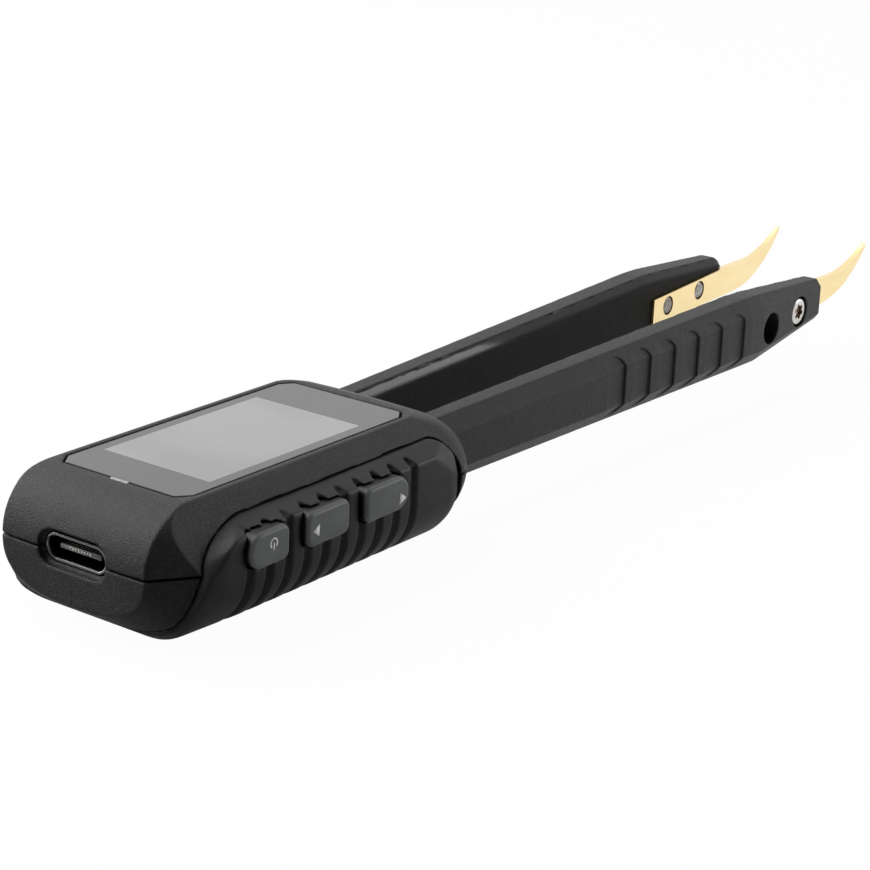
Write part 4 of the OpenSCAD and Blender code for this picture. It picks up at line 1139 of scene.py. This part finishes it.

# %% [markdown]
# ## Inside
# What lies inside can be seen only through gaps or when a piece is taken off, but each still has its own finish:
# a green board with a pattern of tracks, a foil pouch with shallow creases, a dark grey tongue with painted shade
# deeper in the socket, black switches, red leads and the grey glass of the display.

# %% Pieces inside
tongue = clouded("tongue_plastic", None, (0.4, 0.12), (4.0, 3.0), depth=0.006, IOR=1.5)
# Painted shade: the tongue is near black deeper in the socket.
painted_shade_inside(tongue, 0.74, 0.9, 3.0, (grey(0.1), grey(0.15)), (grey(0.008), grey(0.013)))
tongue.give("socket_tongue")
for name, tones, rough, per_mm, between, depth, nodes in (
        ("board_resist", ((0.006, 0.07, 0.022), (0.02, 0.16, 0.055)), 0.3, 0.9, (0.5, 0.53), 0.02, ["main_board"]),
        ("pouch_foil", ((0.42, 0.43, 0.45), (0.55, 0.56, 0.58)), 0.3, 0.35, (0.35, 0.65), 0.12, ["battery"]),
        ("display_glass", ((0.3, 0.31, 0.32), (0.36, 0.37, 0.38)), 0.15, 0.2, (0.35, 0.65), 0.01, ["lcd_module"]),
        ("switch_black", ((0.02, 0.02, 0.021), (0.035, 0.035, 0.036)), 0.4, 3.0, (0.35, 0.65), 0.01,
         ["key_switches"]),
        ("lead_sleeve", ((0.24, 0.015, 0.012), (0.34, 0.03, 0.02)), 0.4, 1.5, (0.35, 0.65), 0.01,
         ["left_lead", "right_lead"])):
    clouded(name, tones, (rough, 0.12), (per_mm, 3.0), between, depth, IOR=1.5).give(*nodes)

# %% [markdown]
# ## Light and floor
# The photograph was taken in a white tent: soft light from above, a white ground and nearly no shadow. A large
# soft lamp hangs behind the tool, a weaker one stands at its rear end, and a third, to the right of the camera,
# lights the keys' side. The floor is near white, and for the camera it glows a little, so that the ground is as
# white as paper while the object's soft shadow stays on it. Reflections see the sheet too, but it ends beside the
# rear end of the tool, and the tent is dark on that side, as with a black card near the lens: that is what keeps
# the corner facets of the head so dark.

# %% Floor


def rays(network):
    """Masks of the rays from the camera, and of those that a piece mirrors or lets through."""
    names = ["Is Camera Ray", "Is Glossy Ray", "Is Transmission Ray"]
    camera_ray, glossy, through = network.outputs("LightPath", names)
    return camera_ray, glossy | through


FLOOR_HALF, UNDER = 3, -0.0004
bm = bmesh.new()
for x, y in oblong((-FLOOR_HALF, -FLOOR_HALF), (FLOOR_HALF, FLOOR_HALF)):
    bm.verts.new((x, y, UNDER))
bm.faces.new(bm.verts)
floor_mesh = bpy.data.meshes.new("paper_floor")
bm.to_mesh(floor_mesh)
bm.free()
floor = bpy.data.objects.new("paper_floor", floor_mesh)
scene.collection.objects.link(floor)

paper = Finish("white_paper", IOR=1.4, Specular_IOR_Level=0.0, Roughness=0.9, Base_Color=(0.8, 0.8, 0.8, 1))
camera_ray, mirror_ray = rays(paper)
x, y, z = paper.outputs("SeparateXYZ", "XYZ", [paper.place])
sheet = (x * 0.806 + y * 0.591).rises(-0.1, 0.02)
glow = paper.node("Emission", {}, [paper.mix(camera_ray | sheet, grey(0.04), grey(1.0))])
lit_paper = Wire(paper, paper.shader.outputs[0])
blend = paper.node("MixShader", {}, [camera_ray * 0.97 | mirror_ray * 0.9, lit_paper, glow])
paper.plug(blend, next(n for n in paper.tree.nodes if n.type == "OUTPUT_MATERIAL").inputs[0])
floor.data.materials.append(paper.material)
print("floor: a white sheet of", 2 * FLOOR_HALF, "m")

# %% Tent and lamps
CARD_SIDE, CARD_TONE, FILL = (-0.62, -0.78, 0.0), 0.03, 0.22
world = bpy.data.worlds.new("tent")
scene.world = world
world.use_nodes = True
world.node_tree.nodes.clear()
tent = Network(world.node_tree)
camera_ray, mirror_ray = rays(tent)
towards = tent.node("TexCoord", out="Generated")
card = tent.node("VectorMath", {"operation": "DOT_PRODUCT"}, [towards, CARD_SIDE], "Value")
strength = (FILL + mirror_ray * (1 - FILL)) * card.rises(-0.2, 0.5, 1.0, CARD_TONE) | camera_ray
sky = tent.node("Background", {}, {"Color": (1, 1, 1, 1), "Strength": strength})
tent.plug(sky, world.node_tree.nodes.new("ShaderNodeOutputWorld").inputs[0])

LAMPS = [("top_lamp", (-0.24, 0.46, 0.52), (-0.02, 0, 0), 0.75, 6.8),
         ("side_lamp", (-0.5, 0.45, 0.27), (-0.05, 0, 0.01), 0.4, 1.2),
         ("right_lamp", (0.8, -0.68, 0.33), (-0.03, 0, 0.01), 0.55, 4.6)]
for name, place, aim, size, power in LAMPS:
    lamp = bpy.data.lights.new(name, "AREA")
    lamp.shape, lamp.size, lamp.energy = "DISK", size, power
    thing = bpy.data.objects.new(name, lamp)
    thing.location = place
    thing.rotation_mode = "QUATERNION"
    thing.rotation_quaternion = (Vector(aim) - Vector(place)).to_track_quat("-Z", "Y")
    scene.collection.objects.link(thing)
scene.view_settings.view_transform = "Standard"
print("lit by", len(LAMPS), "soft lamps and the tent")

# %% [markdown]
# The dressed model has to stay inside the CAD model's box.
